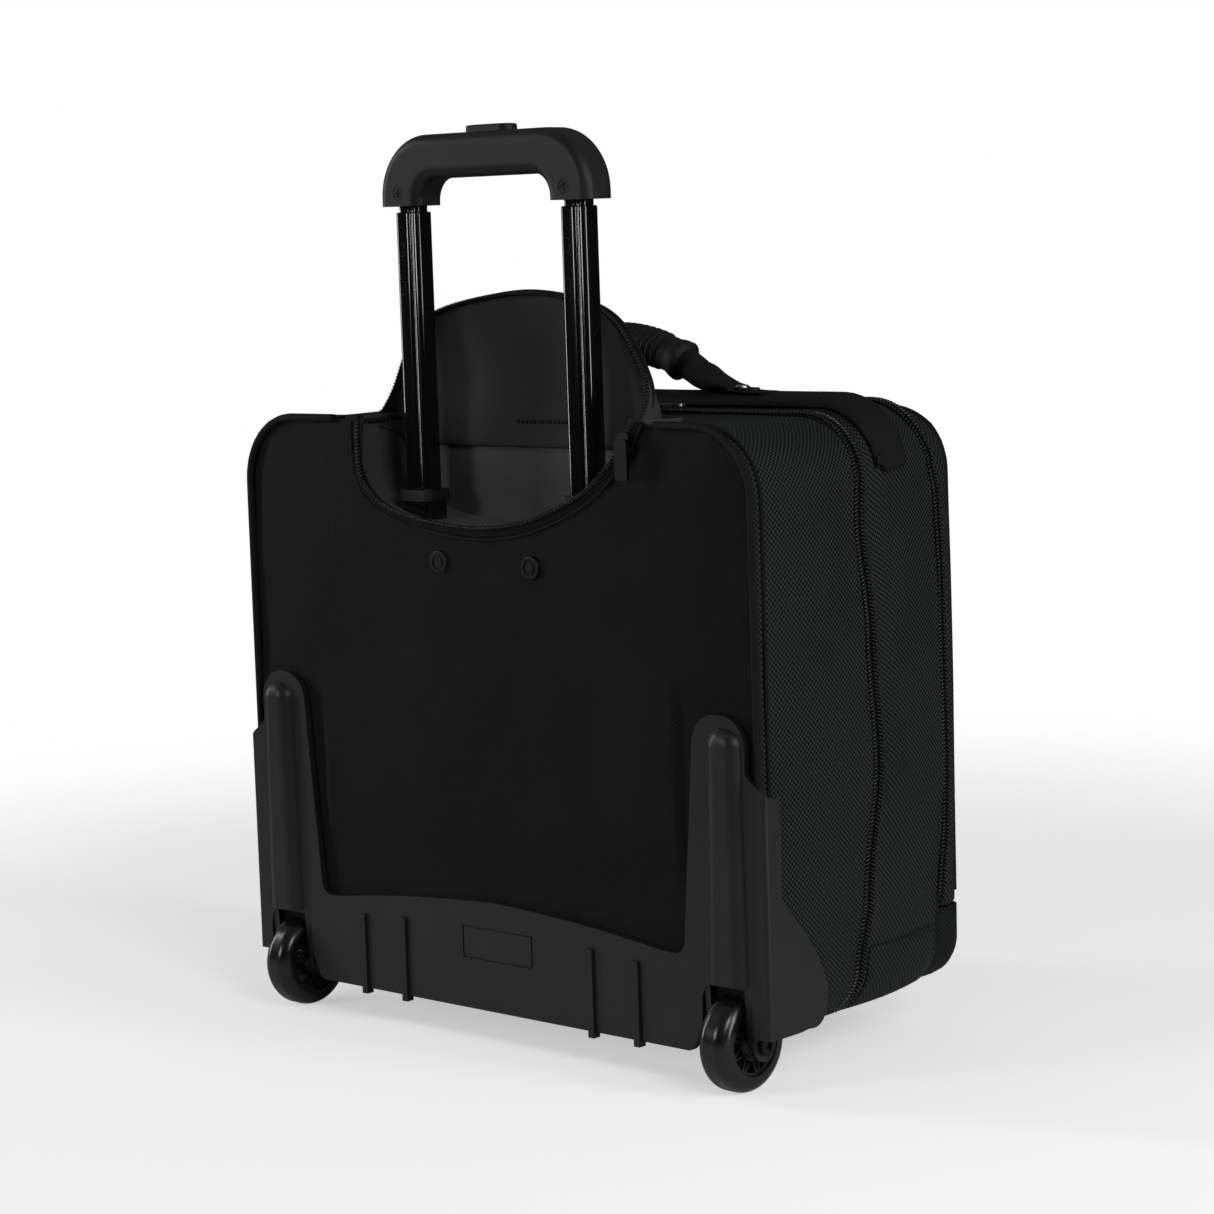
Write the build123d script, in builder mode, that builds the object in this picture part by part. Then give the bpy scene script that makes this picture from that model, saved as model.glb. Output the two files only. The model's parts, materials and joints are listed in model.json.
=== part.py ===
from build123d import *

import math
import os

# A rolling laptop case, in millimetres, standing on its wheels and front feet.
# +Z is up, +Y is the trolley side and -Y the pocket side.  The origin is on the floor,
# under the middle of the whole object.

# ---------------------------------------------------------------- driving dimensions

BACK = 90.0  # outer face of the back panel
FRONT = -112.0  # outer face of the base's front
ZIP_MAIN = -14.0  # where the main zipper's two halves meet
ZIP_POCKET = -86.0  # where the pocket zipper's two halves meet
ZIP_HALF = 5.0  # width of one half of the main zipper
ZIP_POCKET_HALF = 4.0
WALL = 3.0  # fabric, foam and board together
PANEL = 4.0
FIT = 0.3  # gap between faces that slide or turn past each other

# One band of the case is a row of stations: depth, half width, bottom, top, bottom
# corner radius and top corner radius.
REAR = [
    (BACK - PANEL, 211, 30, 389, 26, 42),
    (40, 214, 30, 391, 28, 42),
    (ZIP_MAIN + ZIP_HALF, 213, 31, 389, 30, 42),
]
MIDDLE = [
    (ZIP_MAIN - ZIP_HALF, 213, 31, 389, 30, 42),
    (-40, 211, 31, 400, 30, 42),
    (-60, 210, 31, 400, 30, 40),
    (ZIP_POCKET + ZIP_POCKET_HALF, 207, 32, 393, 30, 40),
]
POCKET = [
    (ZIP_POCKET - ZIP_POCKET_HALF, 206, 80.3, 392, 3.5, 40),
    (-108, 203, 80.3, 388, 3.5, 38),
]
HINGE_LINE = 80.0  # height of the fold that the front pocket opens about
FLOOR_OF_CASE = 32.0

TUBE_X = 70.0
TUBE_Y = 71.0
OUTER_TUBE = (24.0, 18.0, 1.7)  # width, depth and wall of one trolley tube
MIDDLE_TUBE = (20.0, 14.0, 1.3)
INNER_TUBE = (16.8, 10.8, 1.2)
OUTER_SPAN = (44.0, 338.0)  # lowest and highest point of one trolley tube
MIDDLE_SPAN = (228.0, 518.0)
INNER_SPAN = (237.0, 533.0)
COLLAR_TOP = 345.0

GRIP_HALF = 88.0
GRIP_LOW = 521.7
GRIP_UNDERSIDE = 538.0
GRIP_TOP = 565.0
GRIP_SPLIT = 548.0
GRIP_DEPTH = 26.0
GRIP_LEG = 55.0  # inner face of each of the grip's legs
BUTTON = (37.0, 15.0)
BUTTON_TOP = 569.0

WHEEL_X = 187.0
WHEEL_Y = 82.0
WHEEL_R = 30.0
WHEEL_WIDTH = 22.0
RIM_R = 20.0
BEARING_R = 8.0
AXLE_R = 3.0
RUNNING = 0.05  # radial clearance of the bearing on its axle

HANDLE_Y = -40.0
HANDLE_PIVOT = 406.0
HANDLE_TOP = 432.0  # centre line at the middle of the carry handle
HANDLE_HALF = 78.0
HANDLE_FOOT = 404.0
CORE_R = 9.5
SLEEVE_R = 11.5
COLLAR_R = 13.5

FLAP_Y = 40.0
FLAP_LOW = 392.0
FLAP_TOP = 467.0
FLAP_HALF = 121.0
FLAP_WALL = 4.0
RECESS_Y = 45.0


# --------------------------------------------------------------------------- helpers


def at_depth(y):
    """The plane square to Y at depth y, with its own x and y along X and Z."""
    return Plane.XZ.offset(-y)


def station_at(stations, y):
    """The section of a band at depth y, between the two stations beside it."""
    for near, far in zip(stations, stations[1:]):
        if far[0] <= y <= near[0]:
            share = (near[0] - y) / (near[0] - far[0])
            return tuple(a + (b - a) * share for a, b in zip(near, far))
    raise ValueError(y)


def grown(station, by):
    """A station whose outline lies outside the given one, or inside when by is negative."""
    y, half, low, high, low_radius, high_radius = station
    return y, half + by, low - by, high + by, low_radius + by, high_radius + by


def section(station):
    """The closed outline of the case at one station."""
    y, half, low, high, low_radius, high_radius = station
    with BuildSketch(at_depth(y)) as outline:
        with Locations((0, (low + high) / 2)):
            Rectangle(2 * half, high - low)
        fillet(outline.vertices().group_by(Axis.Y)[-1], high_radius)
        fillet(outline.vertices().group_by(Axis.Y)[0], low_radius)
    return outline.sketch


def band(stations, wall):
    """A hollow band of the case that follows its stations."""
    with BuildPart() as made:
        loft([section(station) for station in stations], ruled=True)
        loft([section(grown(station, -wall)) for station in stations], ruled=True, mode=Mode.SUBTRACT)
    return made.part


def zipper_half(near, station, wall, proud=0.5):
    """Half of a zipper: coil and tape as one flat band from depth near to the station."""
    ends = [(near, *station[1:]), station]
    ends.sort(key=lambda end: -end[0])
    return band([grown(end, proud) for end in ends], wall)


def tube(size, span, x):
    """One square trolley tube with rounded corners."""
    width, depth, wall = size
    low, high = span
    with BuildPart() as made:
        with BuildSketch(Plane.XY.offset(low)):
            with Locations((x, TUBE_Y)):
                RectangleRounded(width, depth, 3)
                RectangleRounded(width - 2 * wall, depth - 2 * wall, 3 - wall, mode=Mode.SUBTRACT)
        extrude(amount=high - low)
    return made.part


RECESS_TOP = 392.0
RECESS_ENDS = (-126.0, 106.0)  # the recess is not quite in the middle of the panel
RECESS_EDGE = [
    (RECESS_ENDS[0], RECESS_TOP),
    (-115, 375.5),
    (-97, 357),
    (-79, 345),
    (-52, 334),
    (-25, 327),
    (8, 324),
    (50, 327),
    (78, 333),
    (95.5, 342),
    (105, 356),
    (107, 374),
    (RECESS_ENDS[1], RECESS_TOP),
]
RECESS_MIDDLE = sum(RECESS_ENDS) / 2


def recess_edge(drop=0.0):
    """The curve along the lower edge of the trolley recess, moved outwards by drop."""
    moved = []
    for x, z in RECESS_EDGE:
        reach = math.hypot(x - RECESS_MIDDLE, z - RECESS_TOP)
        share = 1 + drop / reach
        moved.append((RECESS_MIDDLE + (x - RECESS_MIDDLE) * share, RECESS_TOP + (z - RECESS_TOP) * share))
    return Spline(*moved)


# ------------------------------------------------------------------ rear half, fabric

WELL_IN = 162.0  # inner face of the notch that each wheel sits in
WELL_TOP = 68.3
WELL_FRONT = 46.0

with BuildPart() as wheel_notches:
    for side in (-1, 1):
        with Locations((side * (WELL_IN + 40), WELL_FRONT + 40, WELL_TOP / 2)):
            Box(80, 80, WELL_TOP)

with BuildPart() as rear_gusset:
    add(band(REAR, WALL))
    add(wheel_notches.part, mode=Mode.SUBTRACT)
    with Locations((RECESS_MIDDLE, (RECESS_Y + 2.5 + BACK) / 2, 390)):
        Box(RECESS_ENDS[1] - RECESS_ENDS[0], BACK - RECESS_Y - 2.5, 30, mode=Mode.SUBTRACT)

with BuildPart() as back_panel:
    extrude(section((BACK, *REAR[0][1:])), amount=PANEL)
    with BuildSketch(at_depth(BACK + 1)):
        with BuildLine():
            recess_edge()
            Polyline(
                (RECESS_ENDS[1], RECESS_TOP),
                (RECESS_ENDS[1], 420),
                (RECESS_ENDS[0], 420),
                (RECESS_ENDS[0], RECESS_TOP),
            )
        make_face()
    extrude(amount=PANEL + 2, mode=Mode.SUBTRACT)
    add(wheel_notches.part, mode=Mode.SUBTRACT)

PIPING = 4.0
with BuildPart() as back_piping:
    add(band([(BACK, *grown(REAR[0], PIPING)[1:]), grown(REAR[0], PIPING)], PIPING))
    with Locations((0, BACK, 0)):
        Box(500, 20, 2 * 70, mode=Mode.SUBTRACT)
    with Locations((RECESS_MIDDLE, BACK, 390)):
        Box(RECESS_ENDS[1] - RECESS_ENDS[0], 20, 20, mode=Mode.SUBTRACT)

OPENING_TAPE = 5.0  # width of the zipper tape along the recess's edge
with BuildPart() as opening_zipper:
    with BuildSketch(at_depth(BACK + 1.8)):
        with BuildLine():
            recess_edge()
            Line((RECESS_ENDS[1], RECESS_TOP), (RECESS_ENDS[1] + OPENING_TAPE, RECESS_TOP))
            recess_edge(OPENING_TAPE)
            Line((RECESS_ENDS[0] - OPENING_TAPE, RECESS_TOP), (RECESS_ENDS[0], RECESS_TOP))
        make_face()
    extrude(amount=1.8)
    with Locations((0, BACK, 396)):
        Box(300, 20, 20, mode=Mode.SUBTRACT)

with BuildPart() as recess_wall:
    extrude(section((RECESS_Y + 2, 207, 36, 386, 20, 38)), amount=2)

with BuildPart() as main_zipper_rear:
    add(zipper_half(ZIP_MAIN, REAR[-1], 4))

with BuildPart() as base_board:
    with Locations((0, 18, 36.2)):
        Box(2 * 180, 52, 3)

SLEEVE_LOW = 39.0
SLEEVE_TOP = 320.0
SLEEVE_FRONT = 6.0
with BuildPart() as laptop_sleeve:
    with Locations((0, (SLEEVE_FRONT + RECESS_Y) / 2, (SLEEVE_LOW + SLEEVE_TOP) / 2)):
        Box(2 * 206, RECESS_Y - SLEEVE_FRONT, SLEEVE_TOP - SLEEVE_LOW)
    fillet(laptop_sleeve.edges().filter_by(Axis.Y).group_by(Axis.Z)[0], 18)
    with Locations((0, (SLEEVE_FRONT + RECESS_Y) / 2 + WALL, (SLEEVE_LOW + SLEEVE_TOP) / 2 + 4)):
        Box(2 * 202, RECESS_Y - SLEEVE_FRONT, SLEEVE_TOP - SLEEVE_LOW, mode=Mode.SUBTRACT)

with BuildPart() as sleeve_strap:
    with Locations((0, (SLEEVE_FRONT - 2 + RECESS_Y) / 2, SLEEVE_TOP + 1)):
        Box(40, RECESS_Y - SLEEVE_FRONT + 2, 2)
    with Locations((0, SLEEVE_FRONT - 1, SLEEVE_TOP - 20)):
        Box(40, 2, 42)

SNAPS = ((-39, 302), (39, 302))
with BuildPart() as snap_caps:
    with BuildSketch(at_depth(BACK)):
        with Locations(*SNAPS):
            Circle(7.3)
    extrude(amount=-2.4)
    fillet(snap_caps.faces().group_by(Axis.Y)[-1].edges(), 1)
    with BuildSketch(at_depth(BACK + 2.4)):
        with Locations(*SNAPS):
            Circle(4.8)
            Circle(3.4, mode=Mode.SUBTRACT)
    extrude(amount=0.7, mode=Mode.SUBTRACT)

# ------------------------------------------------------------------------- kick plate

PLATE_OUT = BACK + 4
FIN_OUT = BACK + 10
WING_IN = 215.3
WING_OUT = 219.0
YOKE_IN = (170.0, 174.0)
YOKE_OUT = (200.0, 205.0)


def yoke_arm(inner, outer):
    """The arm that holds one end of a wheel's axle, from depth inner to outer along X."""
    with BuildPart() as made:
        with BuildSketch(Plane.YZ.offset(inner)):
            with Locations((WHEEL_Y, WHEEL_R)):
                Circle(10)
            with BuildLine():
                Polyline((62, 67), (94, 67), (WHEEL_Y + 9.4, 33), (WHEEL_Y - 9.4, 33), close=True)
            make_face()
        extrude(amount=outer - inner)
    return made.part


with BuildPart() as fin:
    with BuildSketch(at_depth(FIN_OUT)):
        with BuildLine():
            rounded = FilletPolyline((204, 66), (202.5, 217), (178, 217), (175, 66), radius=11)
            Line(rounded @ 0, rounded @ 1)
        make_face()
    extrude(amount=FIN_OUT - BACK)
    fillet([e for e in fin.faces().sort_by(Axis.Y)[-1].edges() if e.center().Z > 67], 9)

WELL_WALL = 2.0
WELL_LOW = 31.0
WELL_CEILING = 4.0
WELL_FACE = RECESS_Y + 2 + FIT  # depth of the well's front face, behind the recess wall
inner_face = WELL_IN + FIT
ceiling = WELL_TOP - FIT
with BuildPart() as wheel_well:
    extrude(section((WELL_FACE + WELL_WALL, *grown(station_at(REAR, WELL_FACE), -1)[1:])), amount=WELL_WALL)
    with Locations((inner_face + 30, WELL_FACE + 1, (WELL_LOW + ceiling) / 2)):
        Box(60, 4, ceiling - WELL_LOW, mode=Mode.INTERSECT)
    with Locations((inner_face + WELL_WALL / 2, (WELL_FACE + BACK) / 2, (WELL_LOW + ceiling) / 2)):
        Box(WELL_WALL, BACK - WELL_FACE, ceiling - WELL_LOW)
    with Locations(((inner_face + 216) / 2, (WELL_FACE + PLATE_OUT) / 2, ceiling - WELL_CEILING / 2)):
        Box(216 - inner_face, PLATE_OUT - WELL_FACE, WELL_CEILING)

corner_of_wing = Vector(WING_OUT, PLATE_OUT, (36 + 179) / 2)
with BuildPart() as plate_side:
    with BuildSketch(at_depth(PLATE_OUT)):
        with BuildLine():
            edge = FilletPolyline(
                (0, 22),
                (160, 22),
                (168, 40),
                (168, 66),
                (206, 66),
                (206, 36),
                (WING_OUT, 36),
                (WING_OUT, 179),
                (205, 190),
                (205, 224),
                (167, 224),
                (155, 79),
                (138, 79.8),
                radius=[6, 14, 12, 12, 3, 3, 5, 5, 18, 18, 8],
            )
            ThreePointArc(edge @ 1, (75, 87), (0, 91.5))
            Line((0, 91.5), (0, 22))
        make_face()
    extrude(amount=PLATE_OUT - BACK)
    add(fin.part)
    with BuildSketch(Plane.YZ.offset(WING_IN)):
        with BuildLine():
            Polyline((58, 36.8), (66, 36), (PLATE_OUT, 36), (PLATE_OUT, 179), (80, 177), (80, 117))
            Spline((80, 117), (69, 104.5), (57, 91), (45, 72), (39.8, 52), (44, 40.6), (58, 36.8))
        make_face()
    extrude(amount=WING_OUT - WING_IN)
    fillet(
        [e for e in plate_side.edges().filter_by(Axis.Z) if (e.center() - corner_of_wing).length < 1],
        3,
    )
    add(wheel_well.part)
    add(yoke_arm(*YOKE_IN))
    add(yoke_arm(*YOKE_OUT))
    with Locations((WHEEL_X, WHEEL_Y, WHEEL_R)):
        Cylinder(AXLE_R, 60, rotation=(0, 90, 0), mode=Mode.SUBTRACT)

RIB_LOW = 18.5
with BuildPart() as kick_plate:
    add(plate_side.part)
    mirror(about=Plane.YZ)
    for rib_x, rib_top in ((80.4, 73.2), (117.2, 70.6)):
        middle = (RIB_LOW + rib_top) / 2
        with Locations((-rib_x, BACK + 3.2, middle), (rib_x, BACK + 3.2, middle)):
            Box(4.6, 5.6, rib_top - RIB_LOW)
    with BuildSketch(at_depth(PLATE_OUT)):
        with Locations((-2, 64.5)):
            Rectangle(60, 21)
            Rectangle(57.6, 18.6, mode=Mode.SUBTRACT)
    extrude(amount=0.8, mode=Mode.SUBTRACT)

with BuildPart() as plate_rivets:
    for rivet_x, rivet_z in ((40, 45), (120, 45), (186, 110), (186, 190)):
        for side in (-1, 1):
            with Locations((side * rivet_x, BACK - PANEL - 0.9, rivet_z)):
                Cylinder(5, 1.8, rotation=(90, 0, 0))

# ----------------------------------------------------------------------------- wheels


def wheel_ring(outer, inner, width, edge):
    """A ring about the wheel's axis at WHEEL_X, with its outer edges rounded."""
    with BuildPart() as made:
        with Locations((WHEEL_X, WHEEL_Y, WHEEL_R)):
            Cylinder(outer, width, rotation=(0, 90, 0))
        if edge:
            fillet(made.edges(), edge)
        with Locations((WHEEL_X, WHEEL_Y, WHEEL_R)):
            Cylinder(inner, 2 * width, rotation=(0, 90, 0), mode=Mode.SUBTRACT)
    return made.part


with BuildPart() as tyre_left:
    add(wheel_ring(WHEEL_R, RIM_R, WHEEL_WIDTH, 8))

SPOKE_PAIRS = 9
with BuildPart() as wheel_hub_left:
    add(wheel_ring(RIM_R, BEARING_R, WHEEL_WIDTH - 4, 0))
    step = 360 / SPOKE_PAIRS
    with BuildSketch(Plane.YZ.offset(WHEEL_X - WHEEL_WIDTH)):
        with Locations((WHEEL_Y, WHEEL_R)):
            with PolarLocations(0, SPOKE_PAIRS):
                Polygon((10.6, -1.1), (10.6, 1.1), (17.6, 4.3), (17.6, -4.3), align=None)
            with PolarLocations(0, SPOKE_PAIRS, start_angle=step / 2):
                Polygon((10.4, -2.3), (10.4, 2.3), (17, 0.5), (17, -0.5), align=None)
    extrude(amount=2 * WHEEL_WIDTH, mode=Mode.SUBTRACT)

with BuildPart() as bearing_left:
    add(wheel_ring(BEARING_R, AXLE_R + RUNNING, WHEEL_WIDTH + 0.8, 0))

with BuildPart() as tyre_right:
    add(mirror(tyre_left.part, about=Plane.YZ))

with BuildPart() as wheel_hub_right:
    add(mirror(wheel_hub_left.part, about=Plane.YZ))

with BuildPart() as bearing_right:
    add(mirror(bearing_left.part, about=Plane.YZ))

BOLT_HEAD = 3.2
with BuildPart() as axle_bolts:
    with BuildSketch(Plane.YZ.offset(YOKE_IN[0] - 4)):
        with Locations((WHEEL_Y, WHEEL_R)):
            Circle(AXLE_R)
    extrude(amount=YOKE_OUT[1] - YOKE_IN[0] + 4)
    with BuildSketch(Plane.YZ.offset(YOKE_OUT[1])):
        with Locations((WHEEL_Y, WHEEL_R)):
            Circle(6)
    extrude(amount=BOLT_HEAD)
    with BuildSketch(Plane.YZ.offset(YOKE_OUT[1] + BOLT_HEAD - 2)):
        with Locations((WHEEL_Y, WHEEL_R)):
            RegularPolygon(2.6, 6)
    extrude(amount=3, mode=Mode.SUBTRACT)
    mirror(about=Plane.YZ)

with BuildPart() as axle_nuts:
    with BuildSketch(Plane.YZ.offset(YOKE_IN[0] - 4)):
        with Locations((WHEEL_Y, WHEEL_R)):
            RegularPolygon(5.6, 6)
            Circle(AXLE_R, mode=Mode.SUBTRACT)
    extrude(amount=4)
    mirror(about=Plane.YZ)

with BuildPart() as axle_washers:
    for washer_x, thick in ((YOKE_IN[1], 1.3), (YOKE_OUT[0] - 1.3, 1.3)):
        with BuildSketch(Plane.YZ.offset(washer_x)):
            with Locations((WHEEL_Y, WHEEL_R)):
                Circle(7)
                Circle(AXLE_R, mode=Mode.SUBTRACT)
        extrude(amount=thick)
    mirror(about=Plane.YZ)

# ---------------------------------------------------------------------------- trolley

with BuildPart() as outer_tube_left:
    add(tube(OUTER_TUBE, OUTER_SPAN, TUBE_X))

with BuildPart() as outer_tube_right:
    add(tube(OUTER_TUBE, OUTER_SPAN, -TUBE_X))

with BuildPart() as middle_tube_left:
    add(tube(MIDDLE_TUBE, MIDDLE_SPAN, TUBE_X))

with BuildPart() as middle_tube_right:
    add(tube(MIDDLE_TUBE, MIDDLE_SPAN, -TUBE_X))

with BuildPart() as inner_tube_left:
    add(tube(INNER_TUBE, INNER_SPAN, TUBE_X))

with BuildPart() as inner_tube_right:
    add(tube(INNER_TUBE, INNER_SPAN, -TUBE_X))

with BuildPart() as tube_collars:
    for side in (-1, 1):
        with BuildSketch(Plane.XY.offset(OUTER_SPAN[1])):
            with Locations((side * TUBE_X, TUBE_Y)):
                RectangleRounded(28, 22, 5)
                RectangleRounded(MIDDLE_TUBE[0] + 2 * FIT, MIDDLE_TUBE[1] + 2 * FIT, 3, mode=Mode.SUBTRACT)
        extrude(amount=COLLAR_TOP - OUTER_SPAN[1])

with BuildPart() as tube_bracket:
    with Locations((0, TUBE_Y, (33.4 + OUTER_SPAN[0]) / 2)):
        Box(184, 24, OUTER_SPAN[0] - 33.4)
    fillet(tube_bracket.edges().filter_by(Axis.Z), 6)

SCREWS = ((-TUBE_X, 529.7), (TUBE_X, 529.7))
CAVITY = (73.0, 5.0, 541.0, 553.0)  # half width, half depth, lowest and highest point
ROD_R = 2.0

with BuildPart() as grip_whole:
    with BuildSketch(at_depth(TUBE_Y + GRIP_DEPTH / 2)):
        with BuildLine():
            FilletPolyline(
                (-GRIP_HALF, GRIP_LOW),
                (-GRIP_HALF, GRIP_TOP),
                (GRIP_HALF, GRIP_TOP),
                (GRIP_HALF, GRIP_LOW),
                (GRIP_LEG, GRIP_LOW),
                (GRIP_LEG, GRIP_UNDERSIDE),
                (-GRIP_LEG, GRIP_UNDERSIDE),
                (-GRIP_LEG, GRIP_LOW),
                radius=[0, 38, 38, 0, 0, 14, 14, 0],
                close=True,
            )
        make_face()
    extrude(amount=GRIP_DEPTH)
    broad_faces = grip_whole.faces().sort_by(Axis.Y)
    long_edges = broad_faces[0].edges() + broad_faces[-1].edges()
    fillet([e for e in long_edges if e.center().Z > GRIP_LOW + 1], 7)
    for side in (-1, 1):
        with Locations((side * TUBE_X, TUBE_Y, (GRIP_LOW + INNER_SPAN[1]) / 2)):
            Box(INNER_TUBE[0], INNER_TUBE[1], INNER_SPAN[1] - GRIP_LOW, mode=Mode.SUBTRACT)
        with Locations((side * TUBE_X, TUBE_Y, 537)):
            Cylinder(ROD_R + 1, 20, mode=Mode.SUBTRACT)
    with Locations((0, TUBE_Y, (CAVITY[2] + CAVITY[3]) / 2)):
        Box(2 * CAVITY[0], 2 * CAVITY[1], CAVITY[3] - CAVITY[2], mode=Mode.SUBTRACT)
    with BuildSketch(Plane.XY.offset(GRIP_SPLIT)):
        with Locations((0, TUBE_Y)):
            RectangleRounded(BUTTON[0] + 2 * FIT, BUTTON[1] + 2 * FIT, 7)
    extrude(amount=GRIP_TOP - GRIP_SPLIT + 1, mode=Mode.SUBTRACT)
    with BuildSketch(at_depth(TUBE_Y + GRIP_DEPTH / 2)):
        with Locations(*SCREWS):
            Circle(4.4)
    extrude(amount=1.6, mode=Mode.SUBTRACT)
    with BuildSketch(at_depth(TUBE_Y + GRIP_DEPTH / 2)):
        with Locations(*SCREWS):
            Circle(1.5)
    extrude(amount=6, mode=Mode.SUBTRACT)

with BuildPart() as grip_lower:
    add(grip_whole.part)
    split(bisect_by=Plane.XY.offset(GRIP_SPLIT), keep=Keep.BOTTOM)

with BuildPart() as grip_upper:
    add(grip_whole.part)
    split(bisect_by=Plane.XY.offset(GRIP_SPLIT), keep=Keep.TOP)

with BuildPart() as grip_screws:
    with BuildSketch(at_depth(TUBE_Y + GRIP_DEPTH / 2 - 0.2)):
        with Locations(*SCREWS):
            Circle(4.2)
    extrude(amount=1.4)
    with BuildSketch(at_depth(TUBE_Y + GRIP_DEPTH / 2 - 1.6)):
        with Locations(*SCREWS):
            Circle(1.5)
    extrude(amount=4)
    for turn in (0, 90):
        with BuildSketch(at_depth(TUBE_Y + GRIP_DEPTH / 2 - 0.2)):
            with Locations(*SCREWS):
                Rectangle(4.4, 0.9, rotation=turn)
        extrude(amount=0.9, mode=Mode.SUBTRACT)

with BuildPart() as push_button:
    with BuildSketch(Plane.XY.offset(CAVITY[3] - 0.5)):
        with Locations((0, TUBE_Y)):
            RectangleRounded(BUTTON[0], BUTTON[1], 7)
    extrude(amount=BUTTON_TOP - CAVITY[3] + 0.5)
    fillet(push_button.edges().group_by(Axis.Z)[-1], 1.5)
    with BuildSketch(Plane.XY.offset(BUTTON_TOP)):
        with Locations((0, TUBE_Y)):
            RectangleRounded(29, 9, 4.4)
    extrude(amount=-0.8, mode=Mode.SUBTRACT)

with BuildPart() as button_inlay:
    with BuildSketch(Plane.XY.offset(BUTTON_TOP - 0.8)):
        with Locations((0, TUBE_Y)):
            RectangleRounded(29, 9, 4.4)
    extrude(amount=1)

with BuildPart() as release_yoke:
    with Locations((0, TUBE_Y, CAVITY[3] - 2.5)):
        Box(2 * (TUBE_X + ROD_R), 8, 4)
    for side in (-1, 1):
        with Locations((side * TUBE_X, TUBE_Y, (250 + CAVITY[3] - 3) / 2)):
            Cylinder(ROD_R, CAVITY[3] - 3 - 250)

# ------------------------------------------------------------------------- front half

with BuildPart() as middle_gusset:
    add(band(MIDDLE, WALL))

with BuildPart() as main_zipper_front:
    add(zipper_half(ZIP_MAIN, MIDDLE[0], 4))

with BuildPart() as pocket_zipper_rear:
    add(zipper_half(ZIP_POCKET, MIDDLE[-1], 4))
    with Locations((0, ZIP_POCKET, 0)):
        Box(500, 40, 2 * HINGE_LINE, mode=Mode.SUBTRACT)

with BuildPart() as pocket_zipper_front:
    add(zipper_half(ZIP_POCKET, (ZIP_POCKET - ZIP_POCKET_HALF, *MIDDLE[-1][1:]), 4))
    with Locations((0, ZIP_POCKET, 0)):
        Box(500, 40, 2 * (HINGE_LINE + FIT), mode=Mode.SUBTRACT)

with BuildPart() as divider_panel:
    extrude(section((ZIP_POCKET + 2, 203, 36, 388, 20, 36)), amount=2)

with BuildPart() as file_divider:
    extrude(section((-58, 204, 36, 300, 20, 12)), amount=2)

with BuildPart() as organizer_panel:
    extrude(section((ZIP_POCKET - FIT, 188, 90, 350, 12, 12)), amount=2.4)

with BuildPart() as front_base:
    with Locations((0, (ZIP_POCKET + FRONT) / 2, (FLOOR_OF_CASE + HINGE_LINE - FIT) / 2)):
        Box(2 * 206, ZIP_POCKET - FRONT, HINGE_LINE - FIT - FLOOR_OF_CASE)
    fillet(front_base.edges().filter_by(Axis.Y).group_by(Axis.Z)[0], 28)
    fillet(front_base.edges().filter_by(Axis.Z).group_by(Axis.Y)[0], 12)
    with Locations((0, (ZIP_POCKET + FRONT) / 2, 60 + HINGE_LINE / 2)):
        Box(2 * 198, ZIP_POCKET - FRONT - 2 * WALL, HINGE_LINE + 20, mode=Mode.SUBTRACT)

with BuildPart() as front_feet:
    for side in (-1, 1):
        with Locations((side * 72, -97, FLOOR_OF_CASE / 2)):
            Cone(11, 14, FLOOR_OF_CASE)

STRAP = (-25.0, -40.0, -54.0)
STRAP_THICK = 2.0
STRAP_END = 347.0  # height of the strap's sewn ends on the sides
with BuildPart() as handle_strap:
    add(band([grown(station_at(MIDDLE, y), STRAP_THICK) for y in STRAP], STRAP_THICK))
    with Locations((0, HANDLE_Y, 0)):
        Box(500, 60, 2 * STRAP_END, mode=Mode.SUBTRACT)

PLATE_Z = 400 + STRAP_THICK
ANCHOR_X = 98.0
ANCHOR_Y = HANDLE_Y - 2
with BuildPart() as anchor_plates:
    for side in (-1, 1):
        with BuildSketch(Plane.XY.offset(PLATE_Z)):
            with Locations((side * ANCHOR_X, ANCHOR_Y)):
                Ellipse(13, 7.5)
        extrude(amount=1.6)

with BuildPart() as anchor_rivets:
    for side in (-1, 1):
        with BuildSketch(Plane.XY.offset(PLATE_Z + 1.6)):
            with Locations((side * ANCHOR_X, ANCHOR_Y)):
                Circle(4.5)
        extrude(amount=1.8)
    fillet(anchor_rivets.edges().group_by(Axis.Z)[-1], 1.2)

with BuildPart() as front_panel:
    loft([section(station) for station in POCKET], ruled=True)
    hollow = [grown(POCKET[0], -WALL), (POCKET[1][0] + WALL, *grown(POCKET[1], -WALL)[1:])]
    loft([section(station) for station in hollow], ruled=True, mode=Mode.SUBTRACT)

with BuildPart() as front_pouch:
    extrude(section((-108, 196, 82, 127, 4, 10)), amount=3.5)

# ----------------------------------------------------------------------- carry handle

HANDLE_ARCH = [
    (-HANDLE_HALF, HANDLE_Y, HANDLE_FOOT),
    (0, HANDLE_Y, HANDLE_TOP),
    (HANDLE_HALF, HANDLE_Y, HANDLE_FOOT),
]
with BuildPart() as handle_core:
    with BuildLine():
        arch = ThreePointArc(*HANDLE_ARCH)
    with BuildSketch(Plane(origin=arch @ 0, z_dir=arch % 0)):
        Circle(CORE_R)
    sweep()
    with Locations((0, HANDLE_Y, HANDLE_PIVOT + 6 - 50)):
        Box(300, 60, 100, mode=Mode.SUBTRACT)
    for side in (-1, 1):
        with Locations((side * 74, HANDLE_Y, HANDLE_PIVOT)):
            Cylinder(3, 16, rotation=(0, 90, 0))
        with Locations((side * 67, HANDLE_Y, HANDLE_PIVOT + 5)):
            Box(10, 6, 10)


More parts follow.
